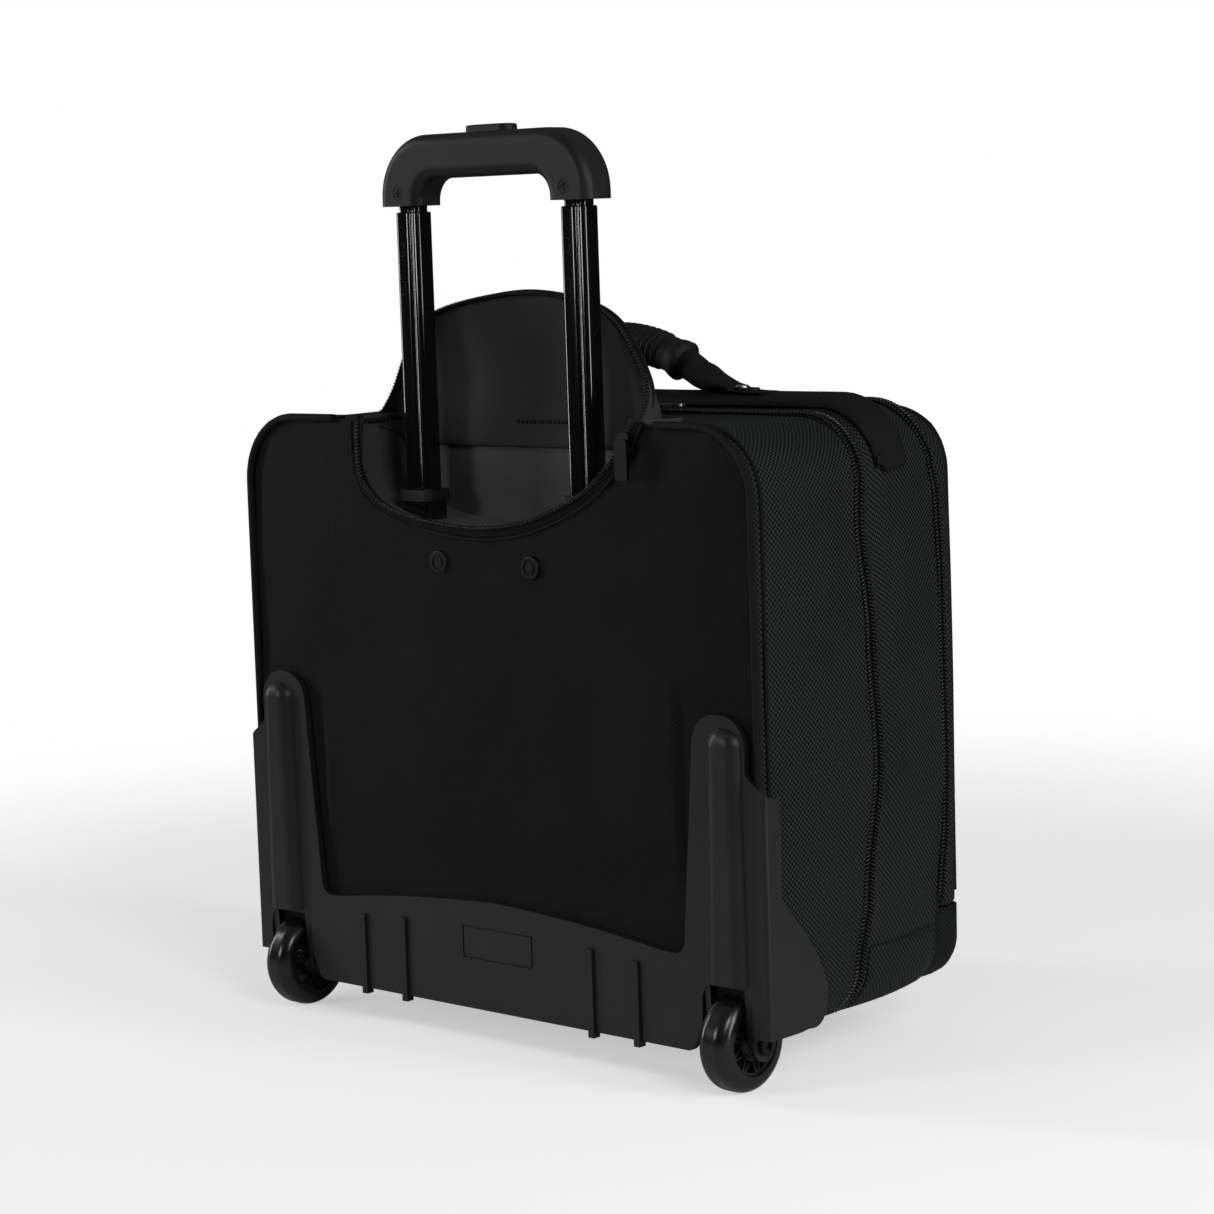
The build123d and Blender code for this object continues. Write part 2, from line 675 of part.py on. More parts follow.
def sleeve_run(first, last, outer, inner):
    """A round sleeve along the carry handle's arch, between two shares of its length."""
    with BuildPart() as made:
        with BuildLine():
            whole = ThreePointArc(*HANDLE_ARCH)
            whole_ends = (whole @ first, whole @ ((first + last) / 2), whole @ last)
        with BuildLine(mode=Mode.PRIVATE) as run_line:
            run = ThreePointArc(*whole_ends)
        with BuildSketch(Plane(origin=run @ 0, z_dir=run % 0)):
            Circle(outer)
            Circle(inner, mode=Mode.SUBTRACT)
        sweep(path=run_line.line)
    return made.part


with BuildPart() as handle_sleeve:
    add(sleeve_run(0.15, 0.85, SLEEVE_R, CORE_R))
    add(sleeve_run(0.15, 0.185, COLLAR_R, CORE_R))
    add(sleeve_run(0.815, 0.85, COLLAR_R, CORE_R))

# ------------------------------------------------------------------------------- flap


def flap_arch(half, top):
    """The arch that the flap's edge follows, standing on its hinge line."""
    return Spline(
        (-half, FLAP_LOW),
        (-half * 0.97, FLAP_LOW + (top - FLAP_LOW) * 0.45),
        (-half * 0.62, FLAP_LOW + (top - FLAP_LOW) * 0.87),
        (0, top),
        (half * 0.62, FLAP_LOW + (top - FLAP_LOW) * 0.87),
        (half * 0.97, FLAP_LOW + (top - FLAP_LOW) * 0.45),
        (half, FLAP_LOW),
    )


FLAP_BACK = 86.0
with BuildPart() as recess_flap:
    with BuildSketch(at_depth(FLAP_BACK)):
        with BuildLine():
            flap_arch(FLAP_HALF, FLAP_TOP)
            Line((FLAP_HALF, FLAP_LOW), (-FLAP_HALF, FLAP_LOW))
        make_face()
    extrude(amount=FLAP_BACK - FLAP_Y)
    with BuildSketch(at_depth(FLAP_BACK)):
        with BuildLine():
            flap_arch(FLAP_HALF - FLAP_WALL, FLAP_TOP - FLAP_WALL)
            Line((FLAP_HALF - FLAP_WALL, FLAP_LOW), (-FLAP_HALF + FLAP_WALL, FLAP_LOW))
        make_face()
    extrude(amount=FLAP_BACK - FLAP_Y - FLAP_WALL, mode=Mode.SUBTRACT)
    with BuildSketch(Plane.YZ.offset(-200)):
        with BuildLine():
            above = FLAP_TOP + 1
            Polyline((FLAP_BACK, FLAP_LOW), (48, above), (100, above), (100, FLAP_LOW), close=True)
        make_face()
    extrude(amount=400, mode=Mode.SUBTRACT)

# ---------------------------------------------------------------------------- sliders


def slider(x, y, z):
    """The body of a zipper slider that runs along X, standing on height z."""
    with BuildPart() as made:
        with Locations((x, y, z + 1.6)):
            Box(11, 9, 3.2)
        fillet(made.edges().filter_by(Axis.Z), 2.5)
        with Locations((x, y, z + 3.2 + 1.3)):
            Box(7, 2.4, 2.6)
    return made.part


def slider_pull(x, y, z, way):
    """A pull ring that lies along X from its slider, towards way."""
    with BuildPart() as made:
        with Locations((x + way * (6.2 + 11), y, z)):
            Box(22, 8, 1.6)
        fillet(made.edges().filter_by(Axis.Z), 3)
        with Locations((x + way * (6.2 + 11), y, z)):
            Box(13, 4.6, 4, mode=Mode.SUBTRACT)
    return made.part


ZIP_TOP = 389.5 + FIT
PULL_Z = ZIP_TOP + 4.6
MAIN_SLIDERS = (-30.0, -46.0)
POCKET_SLIDER = 25.0
POCKET_ZIP_TOP = 393.5 + FIT

with BuildPart() as main_slider_left:
    add(slider(MAIN_SLIDERS[0], ZIP_MAIN, ZIP_TOP))

with BuildPart() as main_pull_left:
    add(slider_pull(MAIN_SLIDERS[0], ZIP_MAIN, PULL_Z, 1))

with BuildPart() as main_slider_right:
    add(slider(MAIN_SLIDERS[1], ZIP_MAIN, ZIP_TOP))

with BuildPart() as main_pull_right:
    add(slider_pull(MAIN_SLIDERS[1], ZIP_MAIN, PULL_Z, -1))

with BuildPart() as pocket_slider:
    add(slider(POCKET_SLIDER, ZIP_POCKET, POCKET_ZIP_TOP))

with BuildPart() as pocket_pull:
    add(slider_pull(POCKET_SLIDER, ZIP_POCKET, POCKET_ZIP_TOP + 4.6, 1))

FLAP_SLIDER_X = -120.0
with BuildPart() as flap_slider:
    with Locations((FLAP_SLIDER_X, BACK + 1.8 + 1.6, 381)):
        Box(9, 3.2, 9)
    fillet(flap_slider.edges().filter_by(Axis.Y), 2)

with BuildPart() as flap_pull:
    with Locations((FLAP_SLIDER_X, BACK + 6.4, 369.5)):
        Box(9.5, 2.0, 24)
    fillet(flap_pull.edges().filter_by(Axis.Y), 1.8)

# ---------------------------------------------------------------------------- writing

pieces = {
    "rear_gusset": rear_gusset.part,
    "back_panel": back_panel.part,
    "back_piping": back_piping.part,
    "opening_zipper": opening_zipper.part,
    "recess_wall": recess_wall.part,
    "main_zipper_rear": main_zipper_rear.part,
    "base_board": base_board.part,
    "laptop_sleeve": laptop_sleeve.part,
    "sleeve_strap": sleeve_strap.part,
    "snap_caps": snap_caps.part,
    "kick_plate": kick_plate.part,
    "plate_rivets": plate_rivets.part,
    "tyre_left": tyre_left.part,
    "wheel_hub_left": wheel_hub_left.part,
    "bearing_left": bearing_left.part,
    "tyre_right": tyre_right.part,
    "wheel_hub_right": wheel_hub_right.part,
    "bearing_right": bearing_right.part,
    "axle_bolts": axle_bolts.part,
    "axle_nuts": axle_nuts.part,
    "axle_washers": axle_washers.part,
    "outer_tube_left": outer_tube_left.part,
    "outer_tube_right": outer_tube_right.part,
    "tube_collars": tube_collars.part,
    "tube_bracket": tube_bracket.part,
    "middle_tube_left": middle_tube_left.part,
    "middle_tube_right": middle_tube_right.part,
    "inner_tube_left": inner_tube_left.part,
    "inner_tube_right": inner_tube_right.part,
    "grip_lower": grip_lower.part,
    "grip_upper": grip_upper.part,
    "grip_screws": grip_screws.part,
    "push_button": push_button.part,
    "button_inlay": button_inlay.part,
    "release_yoke": release_yoke.part,
    "middle_gusset": middle_gusset.part,
    "main_zipper_front": main_zipper_front.part,
    "pocket_zipper_rear": pocket_zipper_rear.part,
    "pocket_zipper_front": pocket_zipper_front.part,
    "divider_panel": divider_panel.part,
    "file_divider": file_divider.part,
    "organizer_panel": organizer_panel.part,
    "front_base": front_base.part,
    "front_feet": front_feet.part,
    "handle_strap": handle_strap.part,
    "anchor_plates": anchor_plates.part,
    "anchor_rivets": anchor_rivets.part,
    "front_panel": front_panel.part,
    "front_pouch": front_pouch.part,
    "handle_core": handle_core.part,
    "handle_sleeve": handle_sleeve.part,
    "recess_flap": recess_flap.part,
    "main_slider_left": main_slider_left.part,
    "main_pull_left": main_pull_left.part,
    "main_slider_right": main_slider_right.part,
    "main_pull_right": main_pull_right.part,
    "pocket_slider": pocket_slider.part,
    "pocket_pull": pocket_pull.part,
    "flap_slider": flap_slider.part,
    "flap_pull": flap_pull.part,
}

os.makedirs("parts", exist_ok=True)
for name, piece in pieces.items():
    piece.label = name
    export_step(piece, f"parts/{name}.step")
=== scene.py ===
import json
import math

import bmesh
import bpy
from mathutils import Matrix, Vector, noise


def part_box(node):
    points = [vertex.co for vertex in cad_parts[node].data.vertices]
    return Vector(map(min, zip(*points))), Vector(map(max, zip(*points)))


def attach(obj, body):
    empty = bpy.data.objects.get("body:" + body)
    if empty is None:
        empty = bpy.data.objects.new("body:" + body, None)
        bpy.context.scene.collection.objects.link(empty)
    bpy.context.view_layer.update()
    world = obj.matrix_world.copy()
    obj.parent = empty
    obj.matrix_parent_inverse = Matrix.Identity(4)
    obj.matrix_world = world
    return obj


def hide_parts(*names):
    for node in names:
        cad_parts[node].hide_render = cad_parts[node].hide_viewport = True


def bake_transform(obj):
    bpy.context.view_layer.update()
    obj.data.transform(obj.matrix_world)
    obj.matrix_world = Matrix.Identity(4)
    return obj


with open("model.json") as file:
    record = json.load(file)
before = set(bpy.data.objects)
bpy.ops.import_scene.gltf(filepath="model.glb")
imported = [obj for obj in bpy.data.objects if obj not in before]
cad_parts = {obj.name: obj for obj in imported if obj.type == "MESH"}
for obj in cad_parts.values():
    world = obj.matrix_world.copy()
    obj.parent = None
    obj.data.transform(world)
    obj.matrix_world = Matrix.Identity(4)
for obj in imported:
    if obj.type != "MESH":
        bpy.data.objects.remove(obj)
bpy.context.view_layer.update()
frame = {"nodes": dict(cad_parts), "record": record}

MM = 0.001
scene = bpy.context.scene

# Places of the case that most pieces share, in metres, read from the frame.
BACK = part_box("back_panel")[1].y
HINGE_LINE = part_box("front_panel")[0].z
MIDDLE_Z = 0.21  # height of the middle of the case's body


# ------------------------------------------------------------------------ camera, light


def set_camera():
    """The camera stands behind the case's trolley side, a little above its handle."""
    camera = bpy.data.objects.new("camera", bpy.data.cameras.new("camera"))
    scene.collection.objects.link(camera)
    right = Vector((-0.74272, -0.66883, -0.03219))
    down = Vector((-0.05553, 0.10943, -0.99244))
    ahead = Vector((0.66730, -0.73532, -0.11842))
    turn = Matrix((right, -down, -ahead)).transposed().to_4x4()
    camera.matrix_world = Matrix.Translation((-1.34745, 1.46543, 0.50301)) @ turn
    camera.data.sensor_width = 36
    camera.data.lens = 93.68
    camera.data.clip_end = 50
    scene.camera = camera


def area_light(name, place, target, size, power):
    """A soft rectangular lamp that looks at target."""
    lamp = bpy.data.objects.new(name, bpy.data.lights.new(name, "AREA"))
    lamp.data.shape = "RECTANGLE"
    lamp.data.size, lamp.data.size_y = size
    lamp.data.energy = power
    lamp.location = place
    lamp.rotation_euler = (Vector(target) - Vector(place)).to_track_quat("-Z", "Y").to_euler()
    scene.collection.objects.link(lamp)


def set_studio():
    """A pale floor that fades into a pale room, and four soft lamps."""
    bm = bmesh.new()
    bmesh.ops.create_grid(bm, x_segments=1, y_segments=1, size=24)
    floor = bpy.data.objects.new("floor", bpy.data.meshes.new("floor"))
    bm.to_mesh(floor.data)
    bm.free()
    scene.collection.objects.link(floor)
    floor.data.materials.append(pale_floor())
    scene.world = pale_room()
    scene.view_settings.view_transform = "Standard"
    area_light("side_lamp", (-2.3, -0.3, 0.75), (0, 0, 0.25), (0.5, 1.5), 17)
    area_light("back_lamp", (2.3, 0.9, 0.9), (0, 0, 0.3), (0.35, 1.6), 14)
    area_light("front_lamp", (0.9, 2.3, 0.9), (0, 0, 0.3), (0.6, 0.6), 9)
    area_light("key_lamp", (-2.3, 1.0, 1.6), (0, 0, 0.25), (0.9, 0.9), 15)


def pale_floor():
    """Matt white that fades into the room behind, so that no horizon shows."""
    pale = Finish("pale_floor", (0.9, 0.9, 0.9), 1.0, specular=0.0)
    far = pale.node("ShaderNodeVectorMath", operation="LENGTH")
    pale.join(pale.place("object"), far.inputs[0])
    fade = pale.node("ShaderNodeMapRange", interpolation_type="SMOOTHSTEP")
    pale.join(far.outputs["Value"], fade.inputs["Value"])
    for socket, value in (("From Min", 0.55), ("From Max", 1.3)):
        fade.inputs[socket].default_value = value
    ray = pale.node("ShaderNodeLightPath")
    pale.shader.inputs["Emission Color"].default_value = (1, 1, 1, 1)
    glow = pale.maths("MULTIPLY", ray.outputs["Is Camera Ray"], 0.5)
    pale.join(glow, pale.shader.inputs["Emission Strength"])
    clear = pale.node("ShaderNodeBsdfTransparent")
    mix = pale.node("ShaderNodeMixShader")
    pale.join(fade.outputs["Result"], mix.inputs["Fac"])
    pale.join(pale.shader.outputs[0], mix.inputs[1])
    pale.join(clear.outputs[0], mix.inputs[2])
    pale.join(mix.outputs[0], pale.tree.nodes["Material Output"].inputs["Surface"])
    return pale.material


def pale_room():
    """A white room that is lit from above, so that the floor is bright and the case's sides
    are not washed out."""
    world = bpy.data.worlds.new("room")
    world.use_nodes = True
    tree = world.node_tree
    lit = tree.nodes["Background"]
    seen = tree.nodes.new("ShaderNodeBackground")
    seen.inputs["Color"].default_value = (1, 1, 1, 1)
    way = tree.nodes.new("ShaderNodeTexCoord")
    split = tree.nodes.new("ShaderNodeSeparateXYZ")
    ramp = tree.nodes.new("ShaderNodeMapRange")
    ramp.interpolation_type = "SMOOTHSTEP"
    for socket, value in (("From Min", 0.1), ("From Max", 0.8), ("To Min", 0.17), ("To Max", 2.9)):
        ramp.inputs[socket].default_value = value
    ray = tree.nodes.new("ShaderNodeLightPath")
    mix = tree.nodes.new("ShaderNodeMixShader")
    tree.links.new(way.outputs["Generated"], split.inputs[0])
    tree.links.new(split.outputs["Z"], ramp.inputs["Value"])
    tree.links.new(ramp.outputs["Result"], lit.inputs["Strength"])
    tree.links.new(ray.outputs["Is Camera Ray"], mix.inputs["Fac"])
    tree.links.new(lit.outputs[0], mix.inputs[1])
    tree.links.new(seen.outputs[0], mix.inputs[2])
    tree.links.new(mix.outputs[0], tree.nodes["World Output"].inputs["Surface"])
    return world


# --------------------------------------------------------------------------- materials


class Finish:
    """A material under construction, with short names for adding and joining its nodes."""

    def __init__(self, name, colour, roughness, metallic=0.0, specular=0.5):
        self.material = bpy.data.materials.new(name)
        self.material.use_nodes = True
        self.tree = self.material.node_tree
        self.shader = self.tree.nodes["Principled BSDF"]
        self.shader.inputs["Base Color"].default_value = (*colour, 1)
        self.shader.inputs["Roughness"].default_value = roughness
        self.shader.inputs["Metallic"].default_value = metallic
        self.shader.inputs["Specular IOR Level"].default_value = specular
        self.height = None

    def node(self, kind, **values):
        """Adds a node and sets its properties."""
        made = self.tree.nodes.new(kind)
        for name, value in values.items():
            setattr(made, name, value)
        return made

    def join(self, out, into):
        self.tree.links.new(out, into)

    def maths(self, operation, first, second=None):
        made = self.node("ShaderNodeMath", operation=operation)
        for socket, value in zip(made.inputs, (first, second)):
            if isinstance(value, (int, float)):
                socket.default_value = value
            elif value is not None:
                self.join(value, socket)
        return made.outputs[0]

    def place(self, space, scale=(1, 1, 1)):
        """Coordinates in metres: the piece's own UV map, or its Object coordinates."""
        source = self.node("ShaderNodeTexCoord").outputs["UV" if space == "uv" else "Object"]
        mapping = self.node("ShaderNodeMapping")
        mapping.inputs["Scale"].default_value = scale
        self.join(source, mapping.inputs["Vector"])
        return mapping.outputs["Vector"]

    def noise(self, where, scale, detail=3.0, rough=0.55):
        made = self.node("ShaderNodeTexNoise")
        made.inputs["Scale"].default_value = scale
        made.inputs["Detail"].default_value = detail
        made.inputs["Roughness"].default_value = rough
        self.join(where, made.inputs["Vector"])
        return made.outputs["Fac"]

    def shade(self, factor, dark, light):
        """Base colour runs from dark to light as factor runs from 0 to 1."""
        ramp = self.node("ShaderNodeMix", data_type="RGBA")
        self.join(factor, ramp.inputs["Factor"])
        ramp.inputs["A"].default_value = (*dark, 1)
        ramp.inputs["B"].default_value = (*light, 1)
        self.join(ramp.outputs["Result"], self.shader.inputs["Base Color"])

    def bump(self, height, distance, strength=1.0):
        """Adds relief over any that the surface has already."""
        made = self.node("ShaderNodeBump")
        made.inputs["Distance"].default_value = distance
        made.inputs["Strength"].default_value = strength
        self.join(height, made.inputs["Height"])
        if self.height is not None:
            self.join(self.height, made.inputs["Normal"])
        self.height = made.outputs["Normal"]
        self.join(self.height, self.shader.inputs["Normal"])

    def roughness(self, factor, low, high):
        spread = self.maths("MULTIPLY_ADD", factor, high - low)
        spread.node.inputs[2].default_value = low
        self.join(spread, self.shader.inputs["Roughness"])


def scaled(colour, by):
    return tuple(channel * by for channel in colour)


def woven(name, colour, cell, space="uv", axes="xy", contrast=0.7, sheen=0.03):
    """Ballistic cloth: fat yarns that pass over and under each other, square by square, with a painted sheen
    in its colour.
    """
    made = Finish(name, colour, 0.66, specular=0.11)
    made.shader.inputs["Sheen Weight"].default_value = sheen
    made.shader.inputs["Sheen Roughness"].default_value = 0.45
    where = made.place(space, scale=(1 / cell, 1 / cell, 1 / cell))
    parts = made.node("ShaderNodeSeparateXYZ")
    made.join(where, parts.inputs[0])
    across, along = (parts.outputs[axis.upper()] for axis in axes)
    over_a = made.maths("SINE", made.maths("MULTIPLY", across, math.pi))
    over_b = made.maths("SINE", made.maths("MULTIPLY", along, math.pi))
    # The product is positive where one set of yarns is on top and negative where the other is.
    weave = made.maths("MULTIPLY", over_a, over_b)
    plain = made.place(space)
    slub = made.noise(plain, 800, 2)
    cloudy = made.noise(plain, 9, 3)
    # Painted sheen: the colour follows the weave and the slubs. It is lighter on the squares where one set of
    # yarns lies on top and on thick places of the yarn, and darker on the others.
    lit = made.maths("ADD", made.maths("MULTIPLY", weave, 0.8), 0.42)
    lit = made.maths("MULTIPLY", lit, made.maths("ADD", made.maths("MULTIPLY", slub, 0.8), 0.6))
    # Painted sheen: the loose cloud lightens and darkens the colour in broad patches. The same cloud also
    # gives the cloth a soft relief below.
    lit = made.maths("ADD", lit, made.maths("MULTIPLY", made.maths("SUBTRACT", cloudy, 0.5), 0.35))
    made.shade(lit, scaled(colour, 1 - contrast), scaled(colour, 1 + 1.6 * contrast))
    made.bump(made.maths("ADD", weave, made.maths("MULTIPLY", slub, 0.4)), cell * 0.09, 0.8)
    made.bump(cloudy, 2.0 * MM, 0.3)
    return made.material


def satin(name, colour):
    """Smooth lining cloth with a fine cross weave, loose waves and a soft sheen; the waves also paint shade
    and sheen into its colour.
    """
    made = Finish(name, colour, 0.42, specular=0.35)
    made.shader.inputs["Sheen Weight"].default_value = 0.08
    where = made.place("object")
    fine = made.node("ShaderNodeTexWave", wave_type="BANDS", bands_direction="DIAGONAL")
    fine.inputs["Scale"].default_value = 420
    made.join(where, fine.inputs["Vector"])
    waves = made.noise(where, 14, 2)
    # Painted shade and sheen: the colour is darker in the troughs of the waves and lighter on their crests.
    made.shade(waves, scaled(colour, 0.75), scaled(colour, 1.35))
    made.bump(fine.outputs["Fac"], 0.08 * MM, 0.5)
    made.bump(waves, 5 * MM, 0.6)
    made.roughness(waves, 0.4, 0.58)
    return made.material


def webbing(name, colour, rib, space="uv"):
    """Narrow woven tape: ribs across its width and a fine twill on each, with painted shade between them in
    its colour.
    """
    made = Finish(name, colour, 0.7, specular=0.2)
    where = made.place(space, scale=(1 / rib, 1 / rib, 1 / rib))
    parts = made.node("ShaderNodeSeparateXYZ")
    made.join(where, parts.inputs[0])
    across, along = parts.outputs["X"], parts.outputs["Y"]
    ribs = made.maths("ABSOLUTE", made.maths("SINE", made.maths("MULTIPLY", along, math.pi)))
    slant = made.maths("ADD", across, made.maths("MULTIPLY", along, 0.5))
    twill = made.maths("ABSOLUTE", made.maths("SINE", made.maths("MULTIPLY", slant, 2.2 * math.pi)))
    height = made.maths("ADD", ribs, made.maths("MULTIPLY", twill, 0.5))
    # Painted shade: the colour is darker in the grooves between the ribs and the twill lines, and lighter on
    # their tops.
    made.shade(made.maths("MULTIPLY", height, 0.66), scaled(colour, 0.45), scaled(colour, 1.6))
    made.bump(height, 0.25 * MM, 0.9)
    return made.material


def moulded(name, colour, roughness=0.5, grain=0.05, specular=0.45):
    """Injection-moulded plastic with a spark-eroded grain and faint handling marks."""
    made = Finish(name, colour, roughness, specular=specular)
    where = made.place("object")
    fine = made.noise(where, 1400, 2, 0.6)
    marks = made.noise(where, 26, 5, 0.65)
    made.shade(marks, scaled(colour, 0.82), scaled(colour, 1.22))
    made.bump(fine, grain * MM, 0.8)
    made.roughness(marks, roughness - 0.07, roughness + 0.09)
    return made.material


def lacquer(name, colour, roughness=0.12):
    """Gloss enamel over drawn aluminium, with hairline scuffs along its length."""
    made = Finish(name, colour, roughness, specular=0.6)
    made.shader.inputs["Coat Weight"].default_value = 0.7
    made.shader.inputs["Coat Roughness"].default_value = 0.06
    streaks = made.noise(made.place("object", scale=(900, 900, 14)), 1, 3)
    made.shade(streaks, scaled(colour, 0.7), scaled(colour, 1.5))
    made.roughness(streaks, roughness - 0.04, roughness + 0.1)
    return made.material


def bare_metal(name, colour, roughness=0.25):
    """Plated steel, brushed a little and dulled in patches."""
    made = Finish(name, colour, roughness, metallic=1.0)
    brushed = made.noise(made.place("object", scale=(300, 2400, 2400)), 1, 3)
    patches = made.noise(made.place("object"), 70, 4)
    made.shade(patches, scaled(colour, 0.8), scaled(colour, 1.1))
    made.roughness(brushed, roughness - 0.08, roughness + 0.14)
    made.bump(brushed, 0.02 * MM, 0.5)
    return made.material


def rubber(name, colour, roughness=0.42, specular=0.5):
    """Cast rubber or urethane, a little dusty and finely pitted."""
    made = Finish(name, colour, roughness, specular=specular)
    where = made.place("object")
    pits = made.noise(where, 700, 3)
    dust = made.noise(where, 32, 5)
    made.shade(dust, scaled(colour, 0.75), scaled(colour, 1.4))
    made.roughness(dust, roughness - 0.06, roughness + 0.12)
    made.bump(pits, 0.06 * MM, 0.6)
    return made.material


NEAR_BLACK = (0.0056, 0.0058, 0.0062)
GREENISH = (0.0100, 0.0122, 0.0112)
CHARCOAL = (0.0122, 0.0136, 0.0128)
YARN = 1.3 * MM
GUSSET_YARN = 1.7 * MM

FINISHES = {
    "ballistic_fabric": woven(
        "ballistic_cloth", scaled(NEAR_BLACK, 1.2), YARN, "object", "xz", contrast=0.55
    ),
    "panel_fabric": woven("panel_cloth", scaled(GREENISH, 0.9), GUSSET_YARN, contrast=0.9, sheen=0.01),
    "gusset_fabric": woven(
        "gusset_cloth", scaled(GREENISH, 1.5), GUSSET_YARN, contrast=1.0, sheen=0.008
    ),
    "flap_lining": woven("flap_lining_cloth", (0.042, 0.042, 0.042), 0.9 * MM, contrast=0.3),
    "satin_lining": satin("satin_cloth", (0.066, 0.070, 0.066)),
    "webbing": webbing("ribbed_webbing", (0.0075, 0.0078, 0.0078), 1.7 * MM),
    "binding": webbing("twill_binding", (0.0070, 0.0072, 0.0074), 1.0 * MM, "object"),
    "tape": webbing("zipper_tape", (0.0060, 0.0062, 0.0064), 0.8 * MM),
    "zipper_coil": moulded("coil_nylon", (0.0110, 0.0115, 0.0115), 0.3, 0.02),
    "moulded_plastic": moulded("kick_plate_plastic", CHARCOAL, 0.4, 0.05),
    "grip_plastic": moulded("grip_plastic", (0.0128, 0.0140, 0.0130), 0.46, 0.04, specular=0.35),
    "tube_enamel": lacquer("tube_enamel", (0.0030, 0.0030, 0.0034)),
    "bright_steel": bare_metal("plated_steel", (0.55, 0.55, 0.56)),
    "black_steel": bare_metal("blackened_steel", (0.035, 0.036, 0.038), 0.42),
    "tyre_rubber": rubber("tyre_urethane", (0.0050, 0.0052, 0.0054), 0.22, 0.6),
    "hub_plastic": moulded("hub_nylon", (0.0070, 0.0072, 0.0074), 0.36, 0.03),
    "handle_rubber": rubber("sleeve_rubber", (0.0078, 0.0082, 0.0080), 0.6, 0.3),
    "board": moulded("board_plastic", (0.020, 0.020, 0.020), 0.6, 0.1),
    "inlay_metal": bare_metal("warm_inlay", (0.30, 0.25, 0.20), 0.35),
    "foot_rubber": rubber("foot_rubber", (0.0080, 0.0080, 0.0080), 0.6),
}


# ------------------------------------------------------------------------ mesh helpers


def finished(name, bm, finish, body, slot=None, replaces=(), smooth=True):
    """Turns a bmesh into a piece: its finish, the body it rides on and the CAD nodes that it hides. The slot
    argument is not used.
    """
    piece = bpy.data.objects.new(name, bpy.data.meshes.new(name))
    bm.to_mesh(piece.data)
    bm.free()
    scene.collection.objects.link(piece)
    piece.data.materials.append(FINISHES[finish])
    if smooth:
        piece.data.shade_smooth()
    if body:
        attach(piece, body)
    if replaces:
        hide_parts(*replaces)
    return piece


def thicken(piece, thickness, offset=-1.0):
    """Gives open cloth its thickness: inwards, or outwards with an offset of 1."""
    wall = piece.modifiers.new("wall", "SOLIDIFY")
    wall.thickness = thickness
    wall.offset = offset
    return piece


def subdivide(piece, levels=1):
    smooth = piece.modifiers.new("smooth", "SUBSURF")
    smooth.levels = smooth.render_levels = levels
    return piece


def round_edges(piece, width, segments=2, angle=35):
    bevel = piece.modifiers.new("edges", "BEVEL")
    bevel.width = width
    bevel.segments = segments
    bevel.limit_method = "ANGLE"
    bevel.angle_limit = math.radians(angle)
    return piece


def draw_loop(bm, points, closed, layer):
    """Draws points as a chain of edges, numbering its vertices."""
    verts = [bm.verts.new(point) for point in points]
    for number, vert in enumerate(verts):
        vert[layer] = number
    pairs = list(zip(verts, verts[1:]))
    if closed:
        pairs.append((verts[-1], verts[0]))
    return [bm.edges.new(pair) for pair in pairs]


def skin(rings, closed=True):
    """A skin through rings of points: the first ring is drawn and then extruded from ring
    to ring. Its UV map is in metres, along the ring and then from ring to ring."""
    bm = bmesh.new()
    along = bm.verts.layers.int.new("along")
    row = bm.verts.layers.int.new("row")
    edges = draw_loop(bm, rings[0], closed, along)
    for number, ring in enumerate(rings[1:], 1):
        grown = bmesh.ops.extrude_edge_only(bm, edges=edges)["geom"]
        fresh = [item for item in grown if isinstance(item, bmesh.types.BMVert)]
        for vert in fresh:
            vert.co = ring[vert[along]]
            vert[row] = number
        edges = [
            item
            for item in grown
            if isinstance(item, bmesh.types.BMEdge) and all(v[row] == number for v in item.verts)
        ]
    middle = rings[len(rings) // 2]
    reach = [0.0]
    for a, b in zip(middle, middle[1:] + middle[:1]):
        reach.append(reach[-1] + (Vector(b) - Vector(a)).length)
    depth = [[0.0] * len(middle)]
    for near, far in zip(rings, rings[1:]):
        depth.append([d + (Vector(b) - Vector(a)).length for d, a, b in zip(depth[-1], near, far)])
    uv = bm.loops.layers.uv.new("UVMap")
    last = len(middle) - 1
    for face in bm.faces:
        wraps = closed and {0, last} <= {vert[along] for vert in face.verts}
        for loop in face.loops:
            number = loop.vert[along]
            across = reach[-1] if wraps and number == 0 else reach[number]
            loop[uv].uv = (across, depth[loop.vert[row]][number])
    bmesh.ops.recalc_face_normals(bm, faces=bm.faces)
    return bm


def face_away(bm, centre):
    """Turns every face of an open skin so that it looks away from centre."""
    bm.normal_update()
    total = sum((f.calc_center_median() - Vector(centre)).dot(f.normal) * f.calc_area() for f in bm.faces)
    if total < 0:
        bmesh.ops.reverse_faces(bm, faces=bm.faces)
    return bm


def close_ends(bm, sides):
    """Closes a tube of so many sides at both ends."""
    bmesh.ops.holes_fill(bm, edges=[e for e in bm.edges if e.is_boundary], sides=sides)
    bmesh.ops.recalc_face_normals(bm, faces=bm.faces)
    return bm


def smoothly(points, where):
    """The value at where of a smooth curve through (place, value) points in order."""
    if where <= points[0][0]:
        return points[0][1]
    for (a, low), (b, high) in zip(points, points[1:]):
        if where <= b:
            share = (where - a) / (b - a)
            share = share * share * (3 - 2 * share)
            return low + (high - low) * share
    return points[-1][1]


def wobble(point, size, amount, seed=0.0):
    """A soft random offset, the same on each run."""
    return amount * noise.noise(Vector(point) / size + Vector((seed, 0.0, 0.0)))


# ------------------------------------------------------------------- outline of the case

SIDE_STEPS = 26
TOP_STEPS = 30
CORNER_STEPS = 10
RECESS_ENDS = (-126 * MM, 106 * MM)  # the recess is not quite in the middle
RECESS_TOP = 392 * MM


